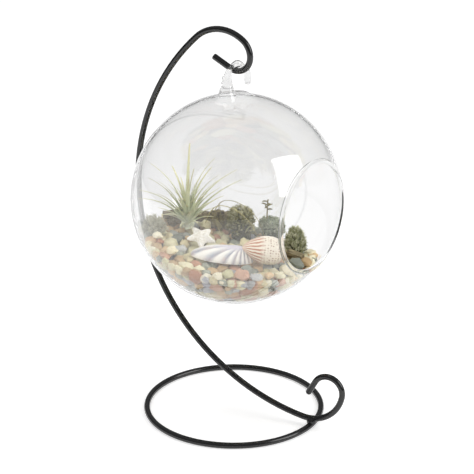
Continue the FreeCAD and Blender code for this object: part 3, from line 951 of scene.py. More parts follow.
        for i in range(1, 6):
            angle = math.pi / 2 * i / 5
            width = max(self.rod_radius * math.cos(angle), 0.02)
            drop = self.rod_radius * (math.sin(angle) - math.sin(math.pi / 2 * (i - 1) / 5))
            centre = self.pull(centre, centre - UP * drop, radius, width)
            radius = width
        leave_edit()
        close_mesh(piece)
        return piece

    def signed_turn(self, angle: float) -> float:
        """Angle as transform.rotate takes it with no window, which is the other way round."""
        return -angle

    def frame_about(self, axis: Vector) -> tuple:
        """Orientation whose Z axis is a direction, for transform.rotate."""
        side = axis.orthogonal().normalized()
        other = axis.cross(side)
        return tuple(side), tuple(other), tuple(axis)

    def pull(self, centre: Vector, target: Vector, radius: float, width: float) -> Vector:
        """Extrude the selected end face to a new centre and width.

        Args:
            centre: Where the end is now, in millimetres.
            target: Where it goes.
            radius: Its radius now.
            width: Its new radius.

        Returns:
            The new centre.
        """
        bpy.ops.mesh.extrude_region_move(TRANSFORM_OT_translate={"value": (target - centre) * MM})
        share = width / radius
        bpy.ops.transform.resize(value=(share, share, share), center_override=target * MM)
        return target

    def is_solid(self, spot: Vector) -> bool:
        """Whether a point of the surface lies on the rim's bead or on the hook's rod."""
        if spot.z > GLOBE_CENTRE.z + GLOBE_RADIUS + self.neck_rise + 1:
            return True
        facing = level(self.opening_turn)
        bead = self.opening_radius + self.rim_radius
        out = spot - GLOBE_CENTRE
        along = out.dot(facing)
        depth = math.sqrt((GLOBE_RADIUS - self.wall / 2) ** 2 - bead**2)
        return math.hypot(along - depth, (out - facing * along).length - bead) < self.rim_radius * 1.02

    def build(self) -> bpy.types.Object:
        """Blow the globe, open its side and melt the hook on to its neck.

        Returns:
            The finished glass, riding on the globe's body.
        """
        globe = self.blow_wall()
        self.open_side(globe)
        self.cut(globe, self.draw_hook(), "UNION")
        globe = join("glass_globe_blown", [globe])
        smooth_over(globe, 35)
        self.finish.dress(globe)
        globe.data.materials.append(self.solid_finish.material())
        for face in globe.data.polygons:
            face.material_index = int(self.is_solid(face.center / MM))
        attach(globe, Body.GLOBE.value)
        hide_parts("glass_globe", "glass_dome", "glass_hook")
        log.info("glass: %d faces", len(globe.data.polygons))
        return globe


# Gravel.


def packed(
    points: np.ndarray,
    sizes: np.ndarray,
    settle_points: Callable[[np.ndarray], np.ndarray],
    rounds: int,
    share: float,
) -> np.ndarray:
    """Push points apart until their stones no longer crowd each other.

    Args:
        points: One row per stone, in millimetres.
        sizes: Width of each stone.
        settle_points: Puts the points back on their surface.
        rounds: How many times they are pushed.
        share: How much of the sum of two half widths they keep apart.

    Returns:
        The settled points.
    """
    for _ in range(rounds):
        apart = points[:, None, :] - points[None, :, :]
        far = np.linalg.norm(apart, axis=2) + 1e-6
        wanted = (sizes[:, None] + sizes[None, :]) / 2 * share
        push = np.clip(wanted - far, 0, None) / far * 0.45
        np.fill_diagonal(push, 0)
        points = settle_points(points + (apart * push[:, :, None]).sum(axis=1))
    return points


@dataclass
class GravelBed:
    """Loose river gravel: stones packed against the glass and over the sloping top."""

    seed: int = 7
    bowl_stones: int = 255
    top_stones: int = 190
    loose_stones: int = 46
    small: float = 5.2
    large: float = 10.2
    flat_share: float = 0.66
    core_drop: float = 4.5
    back_ways: tuple[Vector, ...] = (Vector((0.13, 0.99, 0)), Vector((-0.5, 0.866, 0)))
    back_start: float = 28.0
    back_slope: float = 0.75
    glass_gap: float = 1.75
    bowl_roof: float = -18.0
    bowl_start: float = -26.0
    top_reach: float = 50.0
    loose_back: float = 12.0
    tilt: float = 0.25
    pack_rounds: int = 90
    pack_share: float = 0.93
    finishes: dict[str, TumbledStone] = field(
        default_factory=lambda: {
            "cream": TumbledStone(
                "tumbled_cream_stone",
                ("#CFC9A4", "#E8E0BC", "#D4CEA6", "#EFE9D2", "#E0D2A8", "#C4C096"),
                "#A69C78",
                0.45,
            ),
            "terracotta": TumbledStone(
                "tumbled_terracotta_stone", ("#A8714F", "#C08E6C", "#CCA68E", "#B27C58"), "#86503A", 0.55
            ),
            "grey": TumbledStone(
                "tumbled_grey_stone",
                ("#8A8F7E", "#A9AC9A", "#ADACB2", "#C8C9C0", "#7C8074", "#9BA092"),
                "#5F635A",
                0.5,
            ),
            "tan": TumbledStone(
                "tumbled_tan_stone", ("#B3976D", "#D3B486", "#E2C69A", "#C69F72"), "#84694A", 0.5
            ),
        }
    )
    shares: dict[str, float] = field(
        default_factory=lambda: {"cream": 0.46, "terracotta": 0.11, "grey": 0.23, "tan": 0.20}
    )
    keep_clear: tuple[tuple[float, float, float], ...] = (
        (-0.540, -0.026, 7.0), (-0.587, 0.117, 9.0), (-0.119, 0.181, 14.0), (0.174, 0.404, 9.5),
        (0.484, 0.318, 8.5), (0.062, -0.410, 15.0), (0.386, -0.179, 13.0), (-0.265, -0.215, 10.0),
        (-0.750, -0.327, 7.5), (0.570, 0.138, 7.0), (-0.240, -0.530, 8.0),
    )

    def masters(self) -> list[bpy.types.Object]:
        """Six stones, each a ball pressed flat and worn uneven.

        Returns:
            Stones of unit width about the origin.
        """
        made = []
        for i in range(6):
            clear_selection()
            bpy.ops.mesh.primitive_ico_sphere_add(subdivisions=2, radius=0.5)
            stone = bpy.context.object
            stone.name = "stone_master"
            edit(stone)
            bpy.ops.transform.resize(value=(1.08, 0.88 - 0.03 * (i % 3), self.flat_share))
            bpy.ops.transform.vertex_random(offset=0.125, normal=0.5, seed=self.seed + i)
            bpy.ops.mesh.vertices_smooth(factor=0.3)
            leave_edit()
            smooth_over(stone, 38)
            made.append(stone)
        return made

    def back_fall(self, spot: Vector) -> float:
        """How far the gravel has slid down at the back, in millimetres."""
        far = max((spot - GLOBE_CENTRE).dot(way) for way in self.back_ways)
        return self.back_slope * max(0.0, far - self.back_start)

    def settled_place(self, middle: Vector, size: float) -> Vector:
        """Let a stone of the top slide down with the back of the bed, and keep it off the glass."""
        spot = middle - UP * self.back_fall(middle)
        out = spot - GLOBE_CENTRE
        return GLOBE_CENTRE + out * min(1.0, (BED_RADIUS - size * self.flat_share * 0.4) / out.length)

    def press_to_glass(self, stone: bpy.types.Object) -> None:
        """Push in whatever part of a stone would go through the glass."""
        limit = (GLOBE_RADIUS - self.glass_gap) * MM
        centre = GLOBE_CENTRE * MM
        for point in stone.data.vertices:
            out = point.co - centre
            if out.length > limit:
                point.co = centre + out * (limit / out.length)

    def bowl_places(self, chance: np.random.Generator) -> list[tuple[Vector, Vector, float]]:
        """Pack stones against the glass.

        Args:
            chance: Source of the random draws.

        Returns:
            Each stone's middle, outward direction and width.
        """
        sizes = chance.uniform(self.small, self.large, self.bowl_stones)
        half = sizes * self.flat_share / 2
        centre = np.array(GLOBE_CENTRE)

        def back_on_glass(points: np.ndarray) -> np.ndarray:
            out = points - centre
            out[:, 2] = np.minimum(out[:, 2], self.bowl_roof)
            out *= ((BED_RADIUS - half * 0.8) / np.linalg.norm(out, axis=1))[:, None]
            roof = BED_LEVEL + (GLOBE_CENTRE.x - (out[:, 0] + centre[0])) * BED_SLOPE - centre[2] - half * 0.9
            over = out[:, 2] > roof
            flat = np.linalg.norm(out[:, :2], axis=1)
            wanted = np.sqrt(np.clip((BED_RADIUS - half * 0.8) ** 2 - roof**2, 1, None))
            out[over, 2] = roof[over]
            out[over, :2] *= (wanted[over] / flat[over])[:, None]
            return out + centre

        around = chance.uniform(0, 2 * math.pi, self.bowl_stones)
        fall = chance.uniform(-BED_RADIUS, self.bowl_start, self.bowl_stones)
        reach = np.sqrt(BED_RADIUS**2 - fall**2)
        points = np.stack([reach * np.cos(around), reach * np.sin(around), fall], axis=1) + centre
        points = packed(
            back_on_glass(points), sizes, back_on_glass, self.pack_rounds, self.pack_share
        )
        return [
            (Vector(p), (Vector(p) - GLOBE_CENTRE).normalized(), float(s))
            for p, s in zip(points, sizes)
            if p[2] < bed_top(p[0]) - self.back_fall(Vector(p)) - s * self.flat_share * 0.2
        ]

    def top_places(
        self, chance: np.random.Generator, count: int, lift: float, clear: bool
    ) -> list[tuple[Vector, Vector, float]]:
        """Pack stones on the sloping top.

        Args:
            chance: Source of the random draws.
            count: How many stones are tried.
            lift: Height over the bed's top, in half thicknesses.
            clear: Whether stones near other pieces and at the back are left out.

        Returns:
            Each stone's middle, upward direction and width.
        """
        sizes = chance.uniform(self.small, self.large, count)
        half = sizes * self.flat_share / 2

        def back_in_bed(points: np.ndarray) -> np.ndarray:
            fall = BED_LEVEL + (GLOBE_CENTRE.x - points[:, 0]) * BED_SLOPE - GLOBE_CENTRE.z
            reach = np.sqrt(BED_RADIUS**2 - fall**2) - sizes * 0.62
            out = points[:, :2] - np.array(GLOBE_CENTRE)[:2]
            far = np.linalg.norm(out, axis=1)
            out *= np.minimum(1, reach / np.maximum(far, 1e-6))[:, None]
            points[:, :2] = out + np.array(GLOBE_CENTRE)[:2]
            points[:, 2] = 0
            return points

        around = chance.uniform(0, 2 * math.pi, count)
        far = self.top_reach * np.sqrt(chance.uniform(0, 1, count))
        points = np.stack(
            [GLOBE_CENTRE.x + far * np.cos(around), far * np.sin(around), np.zeros(count)], axis=1
        )
        points = packed(back_in_bed(points), sizes, back_in_bed, self.pack_rounds, self.pack_share)
        places = []
        for p, s, h in zip(points, sizes, half):
            near = any(
                math.hypot(p[0] - GLOBE_CENTRE.x - BED_RADIUS * x, p[1] - BED_RADIUS * y) < apart
                for x, y, apart in self.keep_clear
            )
            if clear and (near or p[1] > self.loose_back):
                continue
            sink = 0.4 if near else 0.0
            tip_x = chance.uniform(-self.tilt, self.tilt) + BED_SLOPE
            tip = Vector((tip_x, chance.uniform(-self.tilt, self.tilt), 1)).normalized()
            middle = Vector((p[0], p[1], bed_top(p[0]) + h * (lift - sink)))
            places.append((self.settled_place(middle, float(s)), tip, float(s)))
        return places

    def lay_core(self) -> bpy.types.Object:
        """Packed gravel under the outer stones: a ball cut off along the bed's slope, painted dark as the
        shade between the stones.
        """
        clear_selection()
        bpy.ops.mesh.primitive_uv_sphere_add(
            segments=48, ring_count=32, radius=(BED_RADIUS - self.core_drop) * MM, location=GLOBE_CENTRE * MM
        )
        core = settle(bpy.context.object)
        core.name = "gravel_core"
        edit(core)
        bpy.ops.mesh.bisect(
            plane_co=Vector((GLOBE_CENTRE.x, 0, BED_LEVEL - self.core_drop)) * MM,
            plane_no=Vector((BED_SLOPE, 0, 1)).normalized(),
            use_fill=True,
            clear_outer=True,
        )
        drop = BED_LEVEL - GLOBE_CENTRE.z - self.core_drop
        for way in self.back_ways:
            bpy.ops.mesh.select_all(action="SELECT")
            edge = way * self.back_start
            bpy.ops.mesh.bisect(
                plane_co=(GLOBE_CENTRE + edge + UP * (drop - edge.x * BED_SLOPE)) * MM,
                plane_no=(Vector((BED_SLOPE, 0, 1)) + way * self.back_slope).normalized(),
                use_fill=True,
                clear_outer=True,
            )
        leave_edit()
        close_mesh(core)
        mark_points(core.data, "tint", [0.5] * len(core.data.vertices))
        # Dark colours: painted shade in the gaps between the outer stones.
        TumbledStone("packed_gravel_shadow", ("#4A4436", "#5C5546"), "#2E2A22", 0.8).dress(core)
        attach(core, Body.GLOBE.value)
        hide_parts("gravel_bed")
        return core

    def build(self) -> None:
        """Pack the stones, sort them by colour and join each colour."""
        chance = np.random.default_rng(self.seed)
        masters = self.masters()
        places = self.bowl_places(chance)
        places += self.top_places(chance, self.top_stones, -0.75, False)
        places += self.top_places(chance, self.loose_stones, 0.8, True)
        names = list(self.shares)
        kinds = chance.choice(len(names), len(places), p=[self.shares[name] for name in names])
        sorted_stones: dict[str, list[bpy.types.Object]] = {name: [] for name in names}
        for (middle, out, size), kind in zip(places, kinds):
            matrix = (
                Matrix.Translation(middle * MM)
                @ turned_to(out, chance.uniform(0, 2 * math.pi))
                @ Matrix.Scale(size * MM, 4)
            )
            master = masters[int(chance.integers(len(masters)))]
            stone = copy_of(master, matrix, float(chance.uniform(0, 1)))
            self.press_to_glass(stone)
            sorted_stones[names[kind]].append(stone)
        for name, stones in sorted_stones.items():
            group = join("gravel_" + name, stones)
            self.finishes[name].dress(group)
            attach(group, Body.GLOBE.value)
            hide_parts("stones_" + name)
            log.info("%s: %d stones", group.name, len(stones))
        discard(*masters)
        self.lay_core()


# Air plant.


@dataclass
class AirPlant:
    """Air plant: silver leaves that taper from a small bulb, each bent along its own arc."""

    foot: Vector = field(default_factory=lambda: on_bed(-0.540, -0.026) + UP * 1.0)
    bulb_height: float = 9.0
    bulb_width: float = 9.6
    leaf_length: float = 44.0
    leaf_width: float = 2.9
    sag_share: float = 0.10
    lift: float = 10.0
    free_radius: float = 56.4
    leaves: tuple[tuple[float, float, float], ...] = (
        (117, 87, 1.00), (30, 70, 0.92), (25, 51, 0.96), (33, 41, 0.88), (52, 33, 0.56),
        (214, 62, 0.90), (225, 54, 0.80), (228, 41, 0.90), (234, 35, 0.86), (163, 66, 0.72),
        (246, 50, 0.62), (70, 62, 0.74), (300, 66, 0.76), (330, 52, 0.66), (275, 56, 0.66),
        (0, 60, 0.80), (345, 34, 0.56), (305, 38, 0.54), (262, 30, 0.54), (200, 30, 0.40),
        (95, 44, 0.38), (140, 40, 0.36), (15, 24, 0.34), (320, 24, 0.36), (285, 18, 0.42),
    )
    inner_leaves: tuple[tuple[float, float, float], ...] = (
        (10, 78, 0.60), (75, 80, 0.66), (150, 76, 0.55), (205, 80, 0.60), (250, 74, 0.50),
        (310, 80, 0.62), (350, 70, 0.52), (40, 62, 0.46), (180, 55, 0.40), (228, 68, 0.56),
        (20, 58, 0.70), (220, 60, 0.66), (240, 46, 0.52), (38, 50, 0.60), (355, 46, 0.50), (265, 44, 0.48),
        (325, 44, 0.52), (290, 40, 0.46), (215, 40, 0.50), (60, 46, 0.50), (10, 36, 0.46), (248, 30, 0.46),
    )
    sheaths: int = 16
    finish: SilverLeaf = field(default_factory=SilverLeaf)

    def master_leaf(self) -> bpy.types.Object:
        """One straight leaf of unit length: a channelled strip that tapers to a fine tip.

        Returns:
            The leaf along +X, with its width along Y.
        """
        clear_selection()
        bpy.ops.mesh.primitive_grid_add(x_subdivisions=12, y_subdivisions=4, size=1, location=(0.5, 0, 0))
        leaf = settle(bpy.context.object)
        leaf.name = "leaf_master"
        for point in leaf.data.vertices:
            share = point.co.x
            taper = (1 - share) ** 0.8 * (0.72 + 0.28 * math.cos(share * math.pi)) + 0.015
            across = point.co.y * 2
            point.co.y = across * 0.5 * taper
            point.co.z = 0.34 * taper * across**2
        apply_modifier(leaf, "SOLIDIFY", thickness=0.16, offset=-1)
        for point in leaf.data.vertices:
            share = min(max(point.co.x, 0), 1)
            middle = 0.02 + 0.98 * (1 - share) ** 0.8
            point.co.z *= 0.35 + 0.65 * middle
        mark_points(leaf.data, "along", [min(max(p.co.x, 0), 1) for p in leaf.data.vertices])
        return leaf

    def headroom(self, root: Vector, around: float, rise: float) -> float:
        """Longest leaf that keeps off the glass, also when the plant is lifted.

        Args:
            root: Where it starts, in millimetres.
            around: Direction round the plant in degrees.
            rise: Angle above level in degrees.

        Returns:
            The length in millimetres.
        """
        way = level(around) * math.cos(math.radians(rise)) + UP * math.sin(math.radians(rise))
        lengths = []
        for lift in (0.0, self.lift):
            start = root + UP * lift - GLOBE_CENTRE
            along = start.dot(way)
            lengths.append(math.sqrt(along**2 + self.free_radius**2 - start.length_squared) - along)
        return min(lengths)

    def lay(
        self, master: bpy.types.Object, root: Vector, around: float, rise: float, length: float,
        width: float, sag: float, lean: float, tint: float,
    ) -> bpy.types.Object:
        """Copy the leaf and bend the copy along its arc.

        Args:
            master: The straight leaf.
            root: Where it starts, in millimetres.
            around: Direction round the plant in degrees.
            rise: Angle above level in degrees.
            length: Length in millimetres.
            width: Width at the root.
            sag: How much it arches, as a share of its length.
            lean: Sideways curve as a share of its length.
            tint: Shade from 0 to 1.

        Returns:
            The bent leaf.
        """
        leaf = copy_of(master, Matrix.Identity(4), tint)
        out = level(around)
        side = Vector((-out.y, out.x, 0))
        way = out * math.cos(math.radians(rise)) + UP * math.sin(math.radians(rise))
        over = way.cross(side)
        for point in leaf.data.vertices:
            share = point.co.x
            arch = 4 * sag * share * (1 - share)
            spine = root + way * (length * share) + over * (length * arch) + side * (length * lean * share**2)
            slope = (way + over * (4 * sag * (1 - 2 * share)) + side * (2 * lean * share)).normalized()
            normal = slope.cross(side).normalized()
            spot = spine + side * (point.co.y * width) + normal * (point.co.z * width)
            point.co = spot * MM
        return leaf

    def build(self) -> bpy.types.Object:
        """Lay all leaves and the sheaths of the bulb, and join them.

        Returns:
            The plant, riding on its own body.
        """
        chance = np.random.default_rng(3)
        master = self.master_leaf()
        parts = []
        for i, (around, rise, share) in enumerate(self.leaves + self.inner_leaves):
            height = self.bulb_height * (0.3 + math.radians(rise) / math.pi)
            root = self.foot + level(around) * (self.bulb_width / 6) + UP * (height - 2)
            inner = i >= len(self.leaves)
            length = min(self.leaf_length * share, self.headroom(root, around, rise))
            parts.append(
                self.lay(
                    master, root, around, rise, length,
                    self.leaf_width * (0.8 if inner else 1) * (0.75 + 0.3 * share),
                    self.sag_share * float(chance.uniform(0.8, 1.2)), float(chance.uniform(-0.06, 0.06)),
                    float(chance.uniform(0, 1)),
                )
            )
        for i in range(self.sheaths):
            around = LEAF_TURN * i
            reach = 1 - i / self.sheaths
            root = self.foot + level(around) * (self.bulb_width * 0.18 * (0.4 + reach))
            root += UP * (3.2 * (1 - reach))
            parts.append(
                self.lay(
                    master, root, around, 64 + 14 * (1 - reach),
                    self.leaf_length * (0.22 + 0.16 * (1 - reach)),
                    self.bulb_width * 0.66, 0.26, 0.0, float(chance.uniform(0, 1)),
                )
            )
        clear_selection()
        bpy.ops.mesh.primitive_uv_sphere_add(segments=24, ring_count=14, radius=0.5)
        heart = bpy.context.object
        edit(heart)
        bpy.ops.transform.resize(value=(self.bulb_width * 0.5, self.bulb_width * 0.5, self.bulb_height))
        bpy.ops.transform.translate(value=(0, 0, self.bulb_height / 2))
        leave_edit()
        mark_points(heart.data, "along", [0.05] * len(heart.data.vertices))
        parts.append(copy_of(heart, Matrix.Translation(self.foot * MM) @ Matrix.Scale(MM, 4), 0.4))
        discard(heart, master)
        plant = join("air_plant_leaves", parts)
        smooth_over(plant, 50)
        self.finish.dress(plant)
        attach(plant, Body.PLANT.value)
        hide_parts("air_plant")
        log.info("air plant: %d leaves", len(parts) - 1)
        return plant


# Moss, grass, wood.


@dataclass
class MossMound:
    """Preserved moss: a lumpy mound covered with small sprays."""

    name: str
    node: str
    place: tuple[float, float]
    width: float
    height: float
    sprays: int
    spray_length: float
    finish: Finish
    # finish of the core, darker than the sprays: painted shade deep in the mound
    shade_core_finish: Finish
    slot: str = "moss"
    upright: float = 0.35
    needles: int = 5
    thickness: float = 0.05
    seed: int = 1
    squareness: float = 1.0

    def squared(self, way: Vector) -> Vector:
        """Move a point of the unit ball towards a cylinder's edge."""
        flat = max(math.hypot(way.x, way.y), 1e-6)
        wide = min(flat, 1.0) ** self.squareness / flat
        return Vector((way.x * wide, way.y * wide, math.copysign(abs(way.z) ** self.squareness, way.z)))

    def master_spray(self) -> bpy.types.Object:
        """One spray of unit length: a thin stem with a few needles, all three-sided.

        Returns:
            The spray along +Z.
        """
        parts = []
        for i in range(self.needles + 1):
            stem = i == 0
            clear_selection()
            bpy.ops.mesh.primitive_cone_add(
                vertices=3,
                radius1=self.thickness * (1 if stem else 0.8),
                radius2=self.thickness * 0.2,
                depth=1 if stem else 0.46,
                location=(0, 0, 0.5 if stem else 0.23),
            )
            needle = settle(bpy.context.object)
            if not stem:
                needle.data.transform(
                    Matrix.Translation((0, 0, 0.18 + 0.62 * i / self.needles))
                    @ Matrix.Rotation(2.4 * i, 4, "Z")
                    @ Matrix.Rotation(0.75, 4, "Y")
                )
            parts.append(needle)
        return join("spray_master", parts)

    def mound(self) -> bpy.types.Object:
        """Lumpy dome under the sprays, with its foot on the gravel's slope."""
        clear_selection()
        bpy.ops.mesh.primitive_ico_sphere_add(subdivisions=3, radius=0.5)
        core = bpy.context.object
        core.name = self.name + "_core"
        edit(core)
        bpy.ops.transform.resize(value=(self.width * 0.74, self.width * 0.74, self.height * 1.4))
        bpy.ops.transform.vertex_random(offset=self.width * 0.04, normal=0.6, seed=self.seed)
        bpy.ops.mesh.vertices_smooth(factor=0.4)
        leave_edit()
        foot = on_bed(*self.place)
        half = Vector((self.width * 0.37, self.width * 0.37, self.height * 0.7))
        for point in core.data.vertices:
            way = self.squared(Vector([a / b for a, b in zip(point.co, half)]))
            x, y, z = (a * b for a, b in zip(way, half))
            z = max(z + self.height * 0.1, -0.5)
            point.co = (foot + Vector((x, y, z - x * BED_SLOPE))) * MM
        mark_points(core.data, "tint", [0.3] * len(core.data.vertices))
        smooth_over(core, 60)
        return core

    def build(self) -> bpy.types.Object:
        """Cover the mound with sprays that point away from its middle.

        Returns:
            The moss, riding on the globe's body.
        """
        chance = np.random.default_rng(self.seed)
        master = self.master_spray()
        core = self.mound()
        foot = on_bed(*self.place)
        sprays = []
        for i in range(self.sprays):
            fall = 1 - (i + 0.5) / self.sprays
            around = SPRAY_TURN * i + chance.uniform(-0.3, 0.3)
            flat = math.sqrt(max(0.0, 1 - fall**2))
            out = Vector((flat * math.cos(around), flat * math.sin(around), fall))
            at = self.squared(out)
            root = foot + Vector(
                (at.x * self.width * 0.37, at.y * self.width * 0.37, at.z * self.height * 0.76)
            )
            root.z -= (root.x - foot.x) * BED_SLOPE
            length = self.spray_length * chance.uniform(0.6, 1.15)
            way = (out + UP * self.upright + Vector(chance.uniform(-0.35, 0.35, 3))).normalized()
            matrix = (
                Matrix.Translation(root * MM)
                @ turned_to(way, chance.uniform(0, 6.28))
                @ Matrix.Scale(length * MM, 4)
            )
            sprays.append(copy_of(master, matrix, float(chance.uniform(0, 1))))
        discard(master)
        cover = join(self.name, sprays)
        self.finish.dress(cover)
        # The core's darker finish is painted shade under the sprays.
        self.shade_core_finish.dress(core)
        for piece in (cover, core):
            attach(piece, Body.GLOBE.value)
        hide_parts(self.node)
        log.info("%s: %d sprays", self.name, self.sprays)
        return cover


def rod_along(
    name: str, points: Sequence[Vector], radii: Sequence[float], sides: int = 6, tint: float = 0.5
) -> bpy.types.Object:
    """Thin round strand along a smooth curve, as a closed mesh.

    Args:
        name: Name of the new object.
        points: Control points in millimetres.
        radii: Radius at each of them.
        sides: Sides of its section.
        tint: Shade from 0 to 1.

    Returns:
        The strand.
    """
    curve = bpy.data.curves.new(name, "CURVE")
    curve.dimensions = "3D"
    curve.bevel_depth = 1.0
    curve.bevel_resolution = max(0, sides // 2 - 2)
    curve.use_fill_caps = True
    spline = curve.splines.new("NURBS")
    spline.points.add(len(points) - 1)
    spline.order_u = min(4, len(points))
    spline.use_endpoint_u = True
    spline.resolution_u = 4
    for spot, place, radius in zip(spline.points, points, radii):
        spot.co = (*(place * MM), 1)
        spot.radius = radius * MM
    strand = bpy.data.objects.new(name, curve)
    bpy.context.scene.collection.objects.link(strand)
    pick(strand)
    bpy.ops.object.convert(target="MESH")
    strand = bpy.context.object
    mark_points(strand.data, "tint", [tint] * len(strand.data.vertices))
    return strand


@dataclass
class GrassAndTwigs:
    """Dried grass that arches over the moss, open curved twigs beside it, and a small sprig."""

    clump: tuple[float, float] = (-0.119, 0.181)
    block: tuple[float, float] = (0.174, 0.404)
    grass: PreservedPlant = field(
        default_factory=lambda: PreservedPlant(
            "dried_grass_blade", ("#8C8450", "#BDB17A", "#5A532F"), 3.0, 0.7
        )
    )
    twig: PreservedPlant = field(
        default_factory=lambda: PreservedPlant(
            "dried_twig_bark", ("#5B5238", "#8D8462", "#6F6A46"), 2.0, 0.8
        )
    )

    def arch(self, sideways: float, rise: float, thick: float, tint: float) -> bpy.types.Object:
        """One blade that arches over the clump."""
        foot = on_bed(*self.clump)
        points = []
        for share in (0.0, 0.18, 0.4, 0.62, 0.84, 1.0):
            around = math.pi * share
            x = foot.x + 1.5 - 18.5 * math.cos(around)
            z = bed_top(x) + 0.6 + rise * math.sin(around) ** 0.5
            points.append(Vector((x, foot.y + sideways + 2.0 * math.sin(around * 2), z)))
        radii = [thick * share for share in (1, 1, 0.9, 0.75, 0.5, 0.2)]
        return rod_along("blade", points, radii, 4, tint)

    def build(self) -> None:
        """Lay the blades, the twigs and the sprig."""
        chance = np.random.default_rng(11)
        blades = [
            self.arch(-6.4, 19.4, 0.3, 0.2),
            self.arch(1.0, 20.4, 0.26, 0.6),
        ]
        foot = on_bed(*self.clump)
        for i in range(15):
            around = chance.uniform(165, 262)
            start = foot + level(around) * chance.uniform(7, 12)
            start.z = bed_top(start.x) + chance.uniform(2, 6)
            out = level(around + chance.uniform(-40, 40))
            length = chance.uniform(6, 11)
            points = [
                start,
                start + out * (length * 0.3) + UP * (length * 0.35),
                start + out * (length * 0.45) + UP * (length * 0.75),
                start + out * (length * 0.35) + UP * length,
            ]
            tint = float(chance.uniform(0.75, 1))
            blades.append(rod_along("curl", points, [0.28, 0.26, 0.2, 0.1], 4, tint))
        grass = join("grass_and_curls", blades)
        smooth_over(grass, 60)
        self.grass.dress(grass)
        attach(grass, Body.GLOBE.value)
        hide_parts("grass_blades")
        root = on_bed(*self.block) + Vector((-2.4, -1.3, 11.6))
        stem = rod_along(
            "stem", [root, root + UP * 5, root + Vector((0.4, 0.3, 11.0))], [0.5, 0.42, 0.25], 6, 0.4
        )
        parts = [stem]
        for i in range(8):
            start = root + UP * (5.5 + 0.7 * i)
            out = level(LEAF_TURN * i)
            points = [start] + [
                start + out * far + UP * rise for far, rise in ((1.4, 0.8), (2.6, 1.0), (3.6, 0.6))
            ]
            parts.append(rod_along("sprig_leaf", points, [0.25, 0.62, 0.5, 0.08], 6, 0.8))
        sprig = join("twig_sprig_leaves", parts)
        smooth_over(sprig, 60)
        self.twig.dress(sprig)
        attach(sprig, Body.GLOBE.value)
        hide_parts("twig_sprig")
        log.info("grass, curls and sprig laid")


